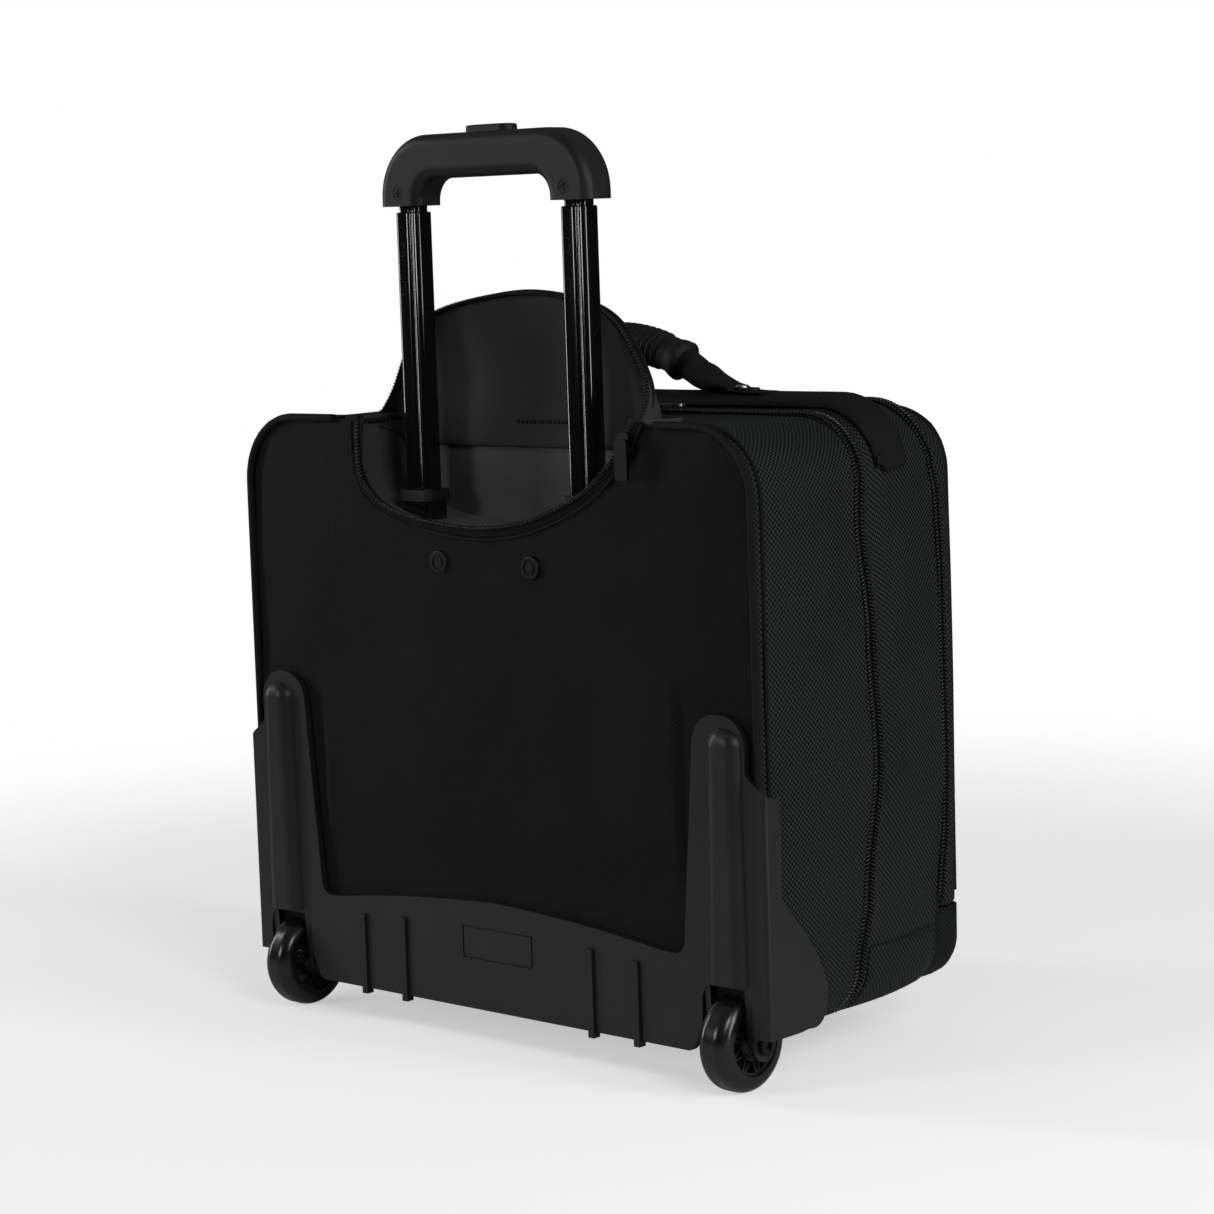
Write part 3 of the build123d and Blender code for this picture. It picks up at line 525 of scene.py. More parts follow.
def outline(half, low, high, low_radius, high_radius):
    """The case seen from the front, as (x, z) points from the middle of the bottom round
    through the +X side, evenly spaced on each stretch so that outlines match."""
    points = []

    def run(start, end, steps):
        for step in range(steps):
            share = step / steps
            points.append(tuple(a + (b - a) * share for a, b in zip(start, end)))

    def corner(centre, radius, start_angle):
        for step in range(CORNER_STEPS):
            angle = start_angle + math.pi / 2 * step / CORNER_STEPS
            points.append((centre[0] + radius * math.cos(angle), centre[1] + radius * math.sin(angle)))

    wide, wide_top = half - low_radius, half - high_radius
    run((0, low), (wide, low), TOP_STEPS // 2)
    corner((wide, low + low_radius), low_radius, -math.pi / 2)
    run((half, low + low_radius), (half, high - high_radius), SIDE_STEPS)
    corner((wide_top, high - high_radius), high_radius, 0)
    run((wide_top, high), (RECESS_ENDS[1], high), 4)
    run((RECESS_ENDS[1], high), (RECESS_ENDS[0], high), TOP_STEPS)
    run((RECESS_ENDS[0], high), (-wide_top, high), 4)
    corner((-wide_top, high - high_radius), high_radius, math.pi / 2)
    run((-half, high - high_radius), (-half, low + low_radius), SIDE_STEPS)
    corner((-wide, low + low_radius), low_radius, math.pi)
    run((-wide, low), (0, low), TOP_STEPS // 2)
    return points


def over_recess(x, z):
    """Whether a point of an outline lies on the stretch that the recess takes away."""
    return RECESS_ENDS[0] <= x <= RECESS_ENDS[1] and z > 0.3


def in_mm(half, low, high, low_radius, high_radius):
    return outline(half * MM, low * MM, high * MM, low_radius * MM, high_radius * MM)


# How far back each zipper lies at each height, from the bottom up.
MAIN_ZIP = [(31, 8), (57, 2.6), (104, -8.8), (184, -20.4), (259, -15.7), (330, -7), (389, -12)]
POCKET_ZIP = [
    (74, -84), (95, -88.5), (139, -94), (172, -96), (284, -94), (337, -91), (353, -86), (389, -80),
]
ZIP_GAP = 5.2 * MM  # from the main zipper's middle to the fabric beside it
POCKET_GAP = 4.2 * MM  # from the pocket zipper's middle to the middle band's fabric
MIDDLE_SWELL = 1.8 * MM  # how far the middle band's cloth swells between its seams


def zip_depth(curve, z):
    return smoothly([(a * MM, b * MM) for a, b in curve], z)


def outward(x, z):
    """The direction out of the case's body at a point of an outline."""
    inner = Vector((x * 0.25, 0, (z - MIDDLE_Z) * 0.25))
    return (Vector((x, 0, z - MIDDLE_Z)) - inner).normalized()


def unevenness(x, y, z, seed):
    """How far sewn cloth of the body stands off its even shape."""
    return wobble((x, y, z), 0.07, 0.8 * MM, seed)


def case_ring(shape, depth_at, puff=0.0, seed=0.0):
    """One ring of fabric: an outline whose depth follows a curve, pushed out by puff, and a
    little uneven as sewn cloth is."""
    ring = []
    for x, z in shape:
        y = depth_at(z)
        flat = smoothly([(0.375, 1.0), (0.388, 0.15)], z)
        push = puff * (flat if puff > 0 else 1) + unevenness(x, y, z, seed) * (1 if puff else 0.3)
        out = outward(x, z)
        ring.append((x + out.x * push, y, z + out.z * push))
    return ring


def along(first, second, share):
    """The depth curve that lies at a share of the way between two others."""
    return lambda z: first(z) + (second(z) - first(z)) * share


def main_zip(z):
    return zip_depth(MAIN_ZIP, z)


def pocket_zip(z):
    return zip_depth(POCKET_ZIP, z)


def back_edge(z):
    return BACK - 2.0 * MM


def moved(edge, gap):
    """A depth curve moved towards +Y by gap."""
    return lambda z: edge(z) + gap


band_back = moved(main_zip, -ZIP_GAP)
band_front = moved(pocket_zip, POCKET_GAP)


def rear_shape(share):
    """The rear band's outline: 0 at the back panel and 1 at the main zipper."""
    return in_mm(211 + 2.4 * share, 30 + share, 389 - 0.8 * math.sin(share * math.pi), 26 + 4 * share, 42)


def middle_shape(share):
    """The middle band's outline: 0 at the main zipper and 1 at the pocket zipper."""
    rise = smoothly([(0, 0), (0.3, 7), (0.55, 8.5), (0.8, 7), (1, 4)], share)
    return in_mm(213 - 4.5 * share, 31 + share, 389 + rise, 30, 42 - 2 * share)


def drop_faces(bm, unwanted):
    """Deletes the faces whose middle answers yes to unwanted."""
    gone = [face for face in bm.faces if unwanted(face.calc_center_median())]
    bmesh.ops.delete(bm, geom=gone, context="FACES")


def band_rings(shape, first, second, shares, puff, seed):
    """Rings of fabric between two edges; the fabric swells by puff between its hems."""
    rings = []
    for share in shares:
        swell = puff * math.sin(math.pi * min(max(share, 0), 1)) ** 0.8
        rings.append(case_ring(shape(share), along(first, second, share), swell, seed))
    return rings


def hem(shape, share, edge, way, seed=0.0):
    """The last rings of a band, where the cloth turns under beside a zipper: way is +1 where
    the zipper lies towards +Y."""
    rings = []
    for over, down in ((1.2, 0.9), (0.2, 0.8), (-0.25, -0.6), (0.0, -2.2)):
        rings.append(case_ring(shape(share), moved(edge, -way * (over * MM)), down * MM, seed))
    return rings


# ------------------------------------------------------------------------ fabric bands


def make_rear_gusset():
    """The rear band, from the piping to the main zipper."""
    hem_line = moved(main_zip, ZIP_GAP)
    shares = [0.0, 0.05, 0.12, 0.22, 0.34, 0.42, 0.52, 0.64, 0.76, 0.86, 0.94]
    rings = band_rings(rear_shape, back_edge, hem_line, shares, 2.6 * MM, 1.0)
    rings += hem(rear_shape, 1.0, hem_line, -1, 1.0)
    bm = face_away(skin(rings), (0, 0.04, MIDDLE_Z))
    well_side, well_front, well_top = 162 * MM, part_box("kick_plate")[0].y + 7 * MM, 68 * MM
    drop_faces(bm, lambda c: abs(c.x) > well_side and c.y > well_front and c.z < well_top)
    drop_faces(bm, lambda c: over_recess(c.x, c.z) and c.y > 50 * MM)
    piece = finished("rear_gusset_skin", bm, "gusset_fabric", "rear_case", replaces=["rear_gusset"])
    return thicken(piece, 2.2 * MM)


def make_middle_gusset():
    """The middle band, between the two zippers."""
    shares = [0.05, 0.12, 0.2, 0.3, 0.4, 0.5, 0.6, 0.7, 0.8, 0.88, 0.95]
    rings = list(reversed(hem(middle_shape, 0.0, band_back, 1, 2.0)))
    rings += band_rings(middle_shape, band_back, band_front, shares, MIDDLE_SWELL, 2.0)
    rings += hem(middle_shape, 1.0, band_front, -1, 2.0)
    bm = face_away(skin(rings), (0, -0.05, MIDDLE_Z))
    piece = finished("middle_gusset_skin", bm, "gusset_fabric", "front_case", replaces=["middle_gusset"])
    return thicken(piece, 2.2 * MM)


# ----------------------------------------------------------------------------- zippers

TOOTH_PITCH = 2.3 * MM
TOOTH_HALF = (0.78 * MM, 1.3 * MM)  # half a tooth's width along the zipper, and half its height
SMALL_REACH = 1.9 * MM  # half the length of a tooth on the recess's and the flap's zippers
TAPE_DROP = 0.9 * MM  # how far a tape lies below the cloth beside it


def resampled(points, pitch):
    """Points at an even pitch along a chain of points."""
    chain = [Vector(p) for p in points]
    spans = [(b - a).length for a, b in zip(chain, chain[1:])]
    found, number, passed = [], 0, 0.0
    for step in range(int(sum(spans) / pitch)):
        target = step * pitch
        while passed + spans[number] < target:
            passed += spans[number]
            number += 1
        found.append(chain[number].lerp(chain[number + 1], (target - passed) / spans[number]))
    return found


def teeth(name, path, facing, side, body, reach=3.1 * MM, lift=0.3 * MM):
    """One row of coil teeth along a path: each is a small slanted bead. facing gives the
    direction that the coil faces, and side is +1 or -1 for the row's own side."""
    bead = bmesh.new()
    bmesh.ops.create_uvsphere(bead, u_segments=6, v_segments=5, radius=1.0)
    bead_mesh = bpy.data.meshes.new("bead")
    bead.to_mesh(bead_mesh)
    bead.free()
    bm = bmesh.new()
    for here, ahead in zip(path, path[1:]):
        forward = (ahead - here).normalized()
        up = facing(here)
        up = (up - forward * up.dot(forward)).normalized()
        across = forward.cross(up) * side
        before = len(bm.verts)
        bm.from_mesh(bead_mesh)
        bm.verts.ensure_lookup_table()
        fresh = bm.verts[before:]
        lean = (across + forward * 0.42).normalized()
        turn = Matrix((lean, up.cross(lean), up)).transposed().to_4x4()
        centre = here + across * reach * 0.95 + up * lift
        size = Matrix.Diagonal((reach, *TOOTH_HALF, 1))
        bmesh.ops.transform(bm, verts=fresh, matrix=Matrix.Translation(centre) @ turn @ size)
    bpy.data.meshes.remove(bead_mesh)
    bmesh.ops.recalc_face_normals(bm, faces=bm.faces)
    return finished(name, bm, "zipper_coil", body)


def tape(name, shape, edge, near, far, body, node, cut=None):
    """A woven zipper tape beside its coil, from near to far of the zipper's middle."""
    rings = []
    for gap in (near, (near + far) / 2, far):
        rings.append(crested(case_ring(shape, moved(edge, gap), -TAPE_DROP)))
    bm = face_away(skin(rings), (0, rings[0][0][1], MIDDLE_Z))
    if cut:
        drop_faces(bm, cut)
    piece = finished(name, bm, "tape", body, slot="zipper_coil", replaces=[node])
    thicken(piece, 0.8 * MM)


def radial(point):
    """The direction straight out of the case's outline at a point."""
    side, low, high = 0.171, 0.062, 0.349
    out = point - Vector((max(-side, min(side, point.x)), point.y, max(low, min(high, point.z))))
    return out.normalized() if out.length > 1e-6 else Vector((0, 0, 1))


def crested(line):
    """A zipper's line, standing a little higher where it runs along the top."""
    raised = [Vector(p) for p in line]
    for point in raised:
        point.z += smoothly([(0.372, 0.0), (0.388, 1.7 * MM)], point.z)
    return raised


def make_main_zipper():
    shape = rear_shape(1.0)
    line = crested(case_ring(shape, main_zip, 0.2 * MM))
    upper = line[TOP_STEPS // 2 - 6 : len(line) - TOP_STEPS // 2 + 6]
    path = resampled(upper, TOOTH_PITCH)
    teeth("main_coil_rear", path, radial, -1, "rear_case")
    shifted = [a.lerp(b, 0.5) for a, b in zip(path, path[1:])]
    teeth("main_coil_front", shifted, radial, 1, "front_case")
    near, far = 0.1 * MM, ZIP_GAP + 1.5 * MM
    tape("main_tape_rear", shape, main_zip, near, far, "rear_case", "main_zipper_rear")
    tape("main_tape_front", shape, main_zip, -far, -near, "front_case", "main_zipper_front")


def make_pocket_zipper():
    shape = middle_shape(1.0)
    line = crested(case_ring(shape, pocket_zip, 0.2 * MM))
    upper = [p for p in line[len(line) // 8 : -len(line) // 8] if p.z > 76 * MM]
    path = resampled(upper, TOOTH_PITCH)
    reach = 2.5 * MM
    teeth("pocket_coil_rear", path, radial, -1, "front_case", reach)
    shifted = [a.lerp(b, 0.5) for a, b in zip(path, path[1:])]
    teeth("pocket_coil_front", shifted, radial, 1, "front_pocket", reach)
    near, far = 0.1 * MM, 5.5 * MM
    below = lambda c: c.z < HINGE_LINE
    tape("pocket_tape_rear", shape, pocket_zip, near, far, "front_case", "pocket_zipper_rear")
    tape("pocket_tape_front", shape, pocket_zip, -far, -near, "front_pocket", "pocket_zipper_front", below)


# -------------------------------------------------------------------- panels of cloth


def recess_curve(drop=0.0):
    """The edge of the trolley's recess, as (x, z) points from its -X end to its +X end."""
    knots = [(-126, 392), (-115, 375.5), (-97, 357), (-79, 345), (-52, 334), (-25, 327), (8, 324)]
    knots += [(50, 327), (78, 333), (95.5, 342), (105, 356), (107, 374), (106, 392)]
    middle = Vector((sum(RECESS_ENDS) / 2, 0, RECESS_TOP))
    line = []
    for x, z in knots:
        spoke = Vector((x * MM, 0, z * MM)) - middle
        line.append(middle + spoke * (1 + drop / spoke.length))
    return [(p.x, p.z) for p in (curve_through(line, step / 72) for step in range(73))]


def inside(point, outline_points):
    """Whether an (x, z) point lies inside a closed outline."""
    x, z = point
    found = False
    for (ax, az), (bx, bz) in zip(outline_points, outline_points[1:] + outline_points[:1]):
        if (az > z) != (bz > z) and x < ax + (bx - ax) * (z - az) / (bz - az):
            found = not found
    return found


def nearest(point, outline_points):
    """The point of a closed outline that is nearest to an (x, z) point."""
    best, found = None, point
    here = Vector(point)
    for a, b in zip(outline_points, outline_points[1:] + outline_points[:1]):
        a, b = Vector(a), Vector(b)
        span = b - a
        if span.length < 1e-9:
            continue
        share = max(0.0, min(1.0, (here - a).dot(span) / span.length_squared))
        spot = a + span * share
        if best is None or (here - spot).length < best:
            best, found = (here - spot).length, spot
    return found


def panel(outline_points, cell, depth_at):
    """A flat piece of cloth cut to an outline, on a fine net, lying at depth_at(x, z)."""
    xs = [p[0] for p in outline_points]
    zs = [p[1] for p in outline_points]
    wide, high = max(xs) - min(xs), max(zs) - min(zs)
    bm = bmesh.new()
    columns, rows = int(wide / cell), int(high / cell)
    bmesh.ops.create_grid(bm, x_segments=columns, y_segments=rows, size=0.5)
    middle = Vector(((max(xs) + min(xs)) / 2, 0, (max(zs) + min(zs)) / 2))
    bmesh.ops.scale(bm, vec=(wide, high, 1), verts=bm.verts)
    bmesh.ops.rotate(bm, matrix=Matrix.Rotation(math.pi / 2, 3, "X"), verts=bm.verts)
    bmesh.ops.translate(bm, vec=middle, verts=bm.verts)
    drop_faces(bm, lambda c: not inside((c.x, c.z), outline_points))
    for vert in [v for v in bm.verts if v.is_boundary]:
        spot = nearest((vert.co.x, vert.co.z), outline_points)
        vert.co.x, vert.co.z = spot[0], spot[1]
    for vert in bm.verts:
        vert.co.y = depth_at(vert.co.x, vert.co.z)
    bmesh.ops.recalc_face_normals(bm, faces=bm.faces)
    return bm


def panel_area(outline_points):
    """The area of an outline, in square metres."""
    pairs = zip(outline_points, outline_points[1:] + outline_points[:1])
    return abs(sum(ax * bz - bx * az for (ax, az), (bx, bz) in pairs)) / 2


def face_towards(bm, way):
    """Turns an open panel so that it faces +Y or -Y."""
    bm.normal_update()
    if sum(face.normal.y * face.calc_area() for face in bm.faces) * way < 0:
        bmesh.ops.reverse_faces(bm, faces=bm.faces)
    return bm


def declare_panel(outline_points):
    """Works out the area of a panel's outline, and does nothing with it."""
    panel_area(outline_points)


def make_back_panel():
    """The trolley side's panel: ballistic cloth, a little crowned and uneven, cut away in a U
    for the trolley's recess."""
    edge = rear_shape(0.0)
    recess = list(reversed(recess_curve()))
    upper = [p for p in edge if not over_recess(*p)]
    split = next(n for n, p in enumerate(upper) if p[0] < 0 and p[1] > 0.3)
    cut = upper[:split] + recess + upper[split:]

    def depth(x, z):
        rim = min(1.0, (nearest((x, z), edge) - Vector((x, z))).length / (40 * MM))
        held = smoothly([(0, 0.0), (105 * MM, 0.0), (150 * MM, 1.0)], z)
        if abs(x) > 150 * MM:
            held *= smoothly([(215 * MM, 0.0), (245 * MM, 1.0)], z)
        swell = 1.6 * MM * rim + wobble((x, 0, z), 0.09, 1.8 * MM, 5)
        swell += wobble((x, 0, z), 0.035, 0.5 * MM, 8)
        return BACK - 0.6 * MM + swell * held

    bm = face_towards(panel(cut, 3.2 * MM, depth), 1)
    piece = finished("back_panel_cloth", bm, "ballistic_fabric", "rear_case", replaces=["back_panel"])
    thicken(piece, 3.0 * MM)
    declare_panel(cut)


def make_inner_panels():
    """The satin wall behind the trolley and the dividers inside, each with its own slack."""
    plans = (
        ("recess_wall", 207, 36, 386, 20, 38, "rear_case", 1, 0.5),
        ("divider_panel", 203, 36, 388, 20, 36, "front_case", 1, 0.8),
        ("file_divider", 204, 36, 300, 20, 12, "front_case", 1, 2.2),
        ("organizer_panel", 188, 90, 350, 12, 12, "front_case", -1, 0.5),
    )
    for number, (node, half, low, high, low_r, high_r, body, way, slack) in enumerate(plans):
        shape = in_mm(half, low, high, low_r, high_r)
        near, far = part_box(node)
        middle = (near.y + far.y) / 2

        def depth(x, z):
            return middle + 0.9 * MM * way + wobble((x, 0, z), 0.08, slack * MM, number * 3.0)

        bm = face_towards(panel(shape, 8 * MM, depth), way)
        piece = finished(node + "_cloth", bm, "satin_lining", body, replaces=[node])
        thicken(piece, 1.6 * MM)
        subdivide(piece)
        declare_panel(shape)


def cord_along(path, radius, sides=8):
    """A round cord about a path, closed at both ends."""
    rings = []
    last = len(path) - 1
    for number, here in enumerate(path):
        forward = (path[min(number + 1, last)] - path[max(number - 1, 0)]).normalized()
        across = forward.cross(Vector((0, 1, 0)))
        if across.length < 1e-4:
            across = forward.cross(Vector((1, 0, 0)))
        across.normalize()
        up = across.cross(forward)
        angles = [2 * math.pi * side / sides for side in range(sides)]
        rings.append([here + across * math.cos(a) * radius + up * math.sin(a) * radius for a in angles])
    return close_ends(skin(rings), sides)


def make_piping():
    """The piping round the back panel, and the turned seam of the band beside it."""
    start, pitch = 70 * MM, 4 * MM
    shape = rear_shape(0.0)
    for way, name, replaced in ((1, "left", ["back_piping"]), (-1, "right", [])):
        side = [p for p in shape if p[0] * way > 0 and p[1] > start and not over_recess(*p)]
        side.sort(key=lambda p: math.atan2(p[1] - 0.2, p[0] * way))
        path = [Vector((x, BACK + 0.4 * MM, z)) for x, z in side]
        path = [p + Vector((p.x, 0, p.z - MIDDLE_Z)).normalized() * 1.2 * MM for p in path]
        bm = cord_along(resampled(path, pitch), 2.5 * MM, 10)
        finished("back_piping_" + name, bm, "binding", "rear_case", replaces=replaced)
        seam = [Vector((p.x, BACK - 8.5 * MM, p.z)) for p in path]
        bm = cord_along(resampled(seam, pitch), 1.5 * MM, 6)
        finished("band_seam_" + name, bm, "binding", "rear_case")


def make_opening_zipper():
    """Coil, tape and binding along the U-shaped edge of the recess."""
    line = [Vector((x, BACK + 1.6 * MM, z)) for x, z in recess_curve(1.5 * MM)]
    facing = lambda here: Vector((0, 1, 0))
    teeth("opening_coil", resampled(line, TOOTH_PITCH), facing, 1, "rear_case", SMALL_REACH, 1.0 * MM)
    rings = []
    for drop, out in ((-1.0, 0.2), (0.6, 1.5), (3.2, 1.7), (5.6, 0.9), (6.6, -0.4)):
        rings.append([(x, BACK + out * MM, z) for x, z in recess_curve(drop * MM)])
    bm = face_towards(skin(rings, closed=False), 1)
    piece = finished("opening_tape", bm, "tape", "rear_case", slot="zipper_coil", replaces=["opening_zipper"])
    thicken(piece, 0.8 * MM)
    cord = [Vector((x, BACK + 1.0 * MM, z)) for x, z in recess_curve(6.8 * MM)]
    bm = cord_along(resampled(cord, 3 * MM), 1.1 * MM, 6)
    finished("opening_binding", bm, "binding", "rear_case")


def make_recess_lining():
    """The satin trough that joins the U edge to the wall behind the trolley."""
    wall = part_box("recess_wall")[1].y
    sag = ((0, -0.5), (0.08, 1.0), (0.25, 2.6), (0.5, 3.4), (0.75, 2.4), (0.93, 0.6), (1, -1.0))
    rings = []
    for share, drop in sag:
        depth = BACK - 0.5 * MM + (wall + 0.8 * MM - BACK) * share
        ring = []
        for x, z in recess_curve(drop * MM):
            ring.append((x, depth, z + wobble((x, depth, z), 0.03, 1.1 * MM, 9)))
        rings.append(ring)
    bm = skin(rings, closed=False)
    bm.normal_update()
    if sum(face.normal.z * face.calc_area() for face in bm.faces) < 0:
        bmesh.ops.reverse_faces(bm, faces=bm.faces)
    piece = finished("recess_lining", bm, "satin_lining", "rear_case")
    thicken(piece, 1.0 * MM)
    subdivide(piece)


# ---------------------------------------------------------------------------- the flap

FLAP_STEPS = 48
FLAP_EDGE = [
    (-123, 86, 387), (-121, 76, 397), (-114, 66, 411), (-99, 60, 431), (-84, 57, 447), (-65, 55, 457),
    (-36, 54, 463.5), (-5, 53, 466), (26, 53, 463.5), (58, 54, 458), (79, 55, 450), (94, 55, 434),
    (106, 57, 408), (112, 62, 394), (109, 72, 388),
]
FLAP_FOOT = [
    (-122, 86, 384), (-120, 72, 382), (-116, 58, 378), (-106, 53, 373), (-88, 51, 371.5), (-65, 50.6, 371),
    (-36, 50.6, 371), (-5, 50.6, 371), (26, 50.6, 371), (58, 50.6, 371), (80, 51, 371.5), (97, 52, 373),
    (106, 54, 377), (109, 62, 381), (108, 71, 385),
]


def curve_through(knots, share):
    """A point of the smooth curve through knots, at a share of the way along it."""
    place = share * (len(knots) - 1)
    number = min(int(place), len(knots) - 2)
    t = place - number
    before, here = Vector(knots[max(number - 1, 0)]), Vector(knots[number])
    ahead, after = Vector(knots[number + 1]), Vector(knots[min(number + 2, len(knots) - 1)])
    cubic = (3 * here - before - 3 * ahead + after) * t**3
    square = (2 * before - 5 * here + 4 * ahead - after) * t * t
    return (2 * here + (ahead - before) * t + square + cubic) * 0.5


def flap_edge(share):
    """The flap's zipped edge, from its -X end to its +X end."""
    return curve_through(FLAP_EDGE, share) * MM


def flap_foot(share):
    """Where the flap's cloth is sewn down, inside the recess."""
    return curve_through(FLAP_FOOT, share) * MM


def make_flap():
    """The hood that zips over the recess, standing open behind the trolley."""
    rings = []
    for level in range(13):
        rise = level / 12
        ring = []
        for step in range(FLAP_STEPS + 1):
            share = step / FLAP_STEPS
            foot, edge = flap_foot(share), flap_edge(share)
            here = foot.lerp(edge, rise)
            away = math.sin(math.pi * share) ** 0.7
            belly = math.sin(math.pi * rise) * away
            here.y -= 5.5 * MM * belly
            here.x += math.copysign(4.0 * MM, share - 0.5) * math.sin(math.pi * rise) * (1 - away)
            here.y += wobble(here, 0.035, 2.2 * MM, 11) * math.sin(math.pi * rise) ** 0.5
            ring.append(here)
        rings.append(ring)
    bm = face_towards(skin(rings, closed=False), 1)
    piece = finished("flap_cloth", bm, "flap_lining", "", slot="gusset_fabric", replaces=["recess_flap"])
    thicken(piece, 2.6 * MM)
    subdivide(piece)
    bend_flap(piece)
    edge = [flap_edge(step / 120) for step in range(121)]
    tape_rings = []
    for out, back in ((-0.5, 2.2), (1.6, 1.2), (1.8, -1.5), (0.4, -3.6)):
        ring = []
        for here in edge:
            away = Vector((here.x, 0, here.z - RECESS_TOP)).normalized()
            ring.append(here + away * out * MM + Vector((0, back * MM, 0)))
        tape_rings.append(ring)
    bm = face_away(skin(tape_rings, closed=False), (0, 0.05, 0.38))
    piece = finished("flap_tape", bm, "tape", "", slot="zipper_coil")
    thicken(piece, 0.9 * MM)
    bend_flap(piece)
    spread = lambda here: Vector((here.x * 0.5, 0.0, here.z - RECESS_TOP)).normalized()
    path = resampled([p + Vector((0, 2.6 * MM, 0)) for p in edge], TOOTH_PITCH)
    bend_flap(teeth("flap_coil", path, spread, 1, "", SMALL_REACH, 0.8 * MM))
    binding = []
    for here in edge:
        away = Vector((here.x, 0, here.z - RECESS_TOP)).normalized()
        binding.append(here + away * 0.8 * MM + Vector((0, -4.2 * MM, 0)))
    bm = cord_along(resampled(binding, 3 * MM), 1.7 * MM, 8)
    bend_flap(finished("flap_binding", bm, "binding", ""))


def bend_flap(piece):
    """Bakes a flap piece's transform into its mesh."""
    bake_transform(piece)


# ---------------------------------------------------------------------- carry handle

HANDLE_Y = (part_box("handle_core")[0].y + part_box("handle_core")[1].y) / 2
ARCH_HALF = 78 * MM
ARCH_FOOT = 404 * MM
ARCH_TOP = 432 * MM


def arch_point(share):
    """A point of the handle's arch and the direction along it there."""
    rise = ARCH_TOP - ARCH_FOOT
    radius = (ARCH_HALF**2 + rise**2) / (2 * rise)
    centre = ARCH_TOP - radius
    spread = math.asin(ARCH_HALF / radius)
    angle = spread * (2 * share - 1)
    here = Vector((radius * math.sin(angle), HANDLE_Y, centre + radius * math.cos(angle)))
    return here, Vector((math.cos(angle), 0, -math.sin(angle)))


def round_rings(spots, radius_at, sides, flat_at=None):
    """Rings about (point, direction) spots; radius_at and flat_at take the ring's number."""
    rings = []
    for number, (here, forward) in enumerate(spots):
        up = Vector((-forward.z, 0, forward.x))
        if up.z < 0:
            up.negate()
        flat = flat_at(number) if flat_at else 1.0
        ring = []
        for side in range(sides):
            angle = 2 * math.pi * side / sides
            size = radius_at(number, angle)
            wide = Vector((0, math.cos(angle) * size, 0))
            ring.append(here + wide + up * math.sin(angle) * size * flat)
        rings.append(ring)
    return rings


def make_carry_handle():
    """A ribbed rubber sleeve with flared ends over a wrapped shaft that ends in two flat tabs."""
    steps = 150
    first, last = 0.165, 0.835
    spots = [arch_point(first + (last - first) * n / steps) for n in range(steps + 1)]

    def sleeve_radius(number, angle):
        share = number / steps
        from_end = min(share, 1 - share)
        flare = smoothly([(0, 1.0), (0.012, 2.6), (0.035, 2.2), (0.1, 0.4), (0.16, 0.0)], from_end)
        if from_end < 0.008:
            flare = -0.8
        ribs = math.sin(2 * math.pi * (share * 25 + 0.12 * math.sin(angle))) * 0.5 + 0.5
        ribs = smoothly([(0.15, 0.0), (0.17, 1.0)], from_end) * (ribs**0.6) * 1.3
        swell = 0.9 * math.sin(math.pi * share)
        return (10.6 + swell + flare + ribs) * MM

    bm = close_ends(skin(round_rings(spots, sleeve_radius, 28)), 28)
    finished("handle_sleeve_ribbed", bm, "handle_rubber", "carry_handle", replaces=["handle_sleeve"])
    bm = skin(round_rings([arch_point(0.1 + 0.8 * n / 24) for n in range(25)], lambda n, a: 9.3 * MM, 14))
    finished("handle_core_wrapped", close_ends(bm, 14), "webbing", "carry_handle", replaces=["handle_core"])
    near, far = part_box("anchor_plates")
    anchor, plate_y = abs(near.x) - 13 * MM, (near.y + far.y) / 2
    for way in (-1, 1):
        knots = [arch_point(0.5 + way * reach)[0] for reach in (0.33, 0.38, 0.42)]
        knots += [
            Vector((way * 80 * MM, HANDLE_Y, 407.2 * MM)),
            Vector((way * (anchor - 4 * MM), HANDLE_Y - 2 * MM, near.z + 2.2 * MM)),
            Vector((way * anchor, HANDLE_Y - 4 * MM, near.z - 0.4 * MM)),
            Vector((way * (anchor + 14 * MM), plate_y, near.z - 0.9 * MM)),
            Vector((way * (anchor + 25 * MM), plate_y, near.z - 1.0 * MM)),
        ]
        line = resampled(knots, 2.2 * MM)
        spots = []
        for number, here in enumerate(line):
            ahead = line[min(number + 1, len(line) - 1)] - line[max(number - 1, 0)]
            ahead.y = 0
            spots.append((here, ahead.normalized()))
        count = len(spots) - 1
        widths = [(0, 9.4), (0.35, 9.8), (0.62, 11), (1, 10)]
        flats = [(0.0, 1.0), (0.3, 0.9), (0.62, 0.14), (1, 0.11)]
        width = lambda number, angle: smoothly(widths, number / count) * MM
        flat = lambda number: smoothly(flats, number / count)
        bm = close_ends(skin(round_rings(spots, width, 16, flat)), 16)
        tab = finished("handle_tab_" + ("left" if way > 0 else "right"), bm, "webbing", "")
        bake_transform(tab)


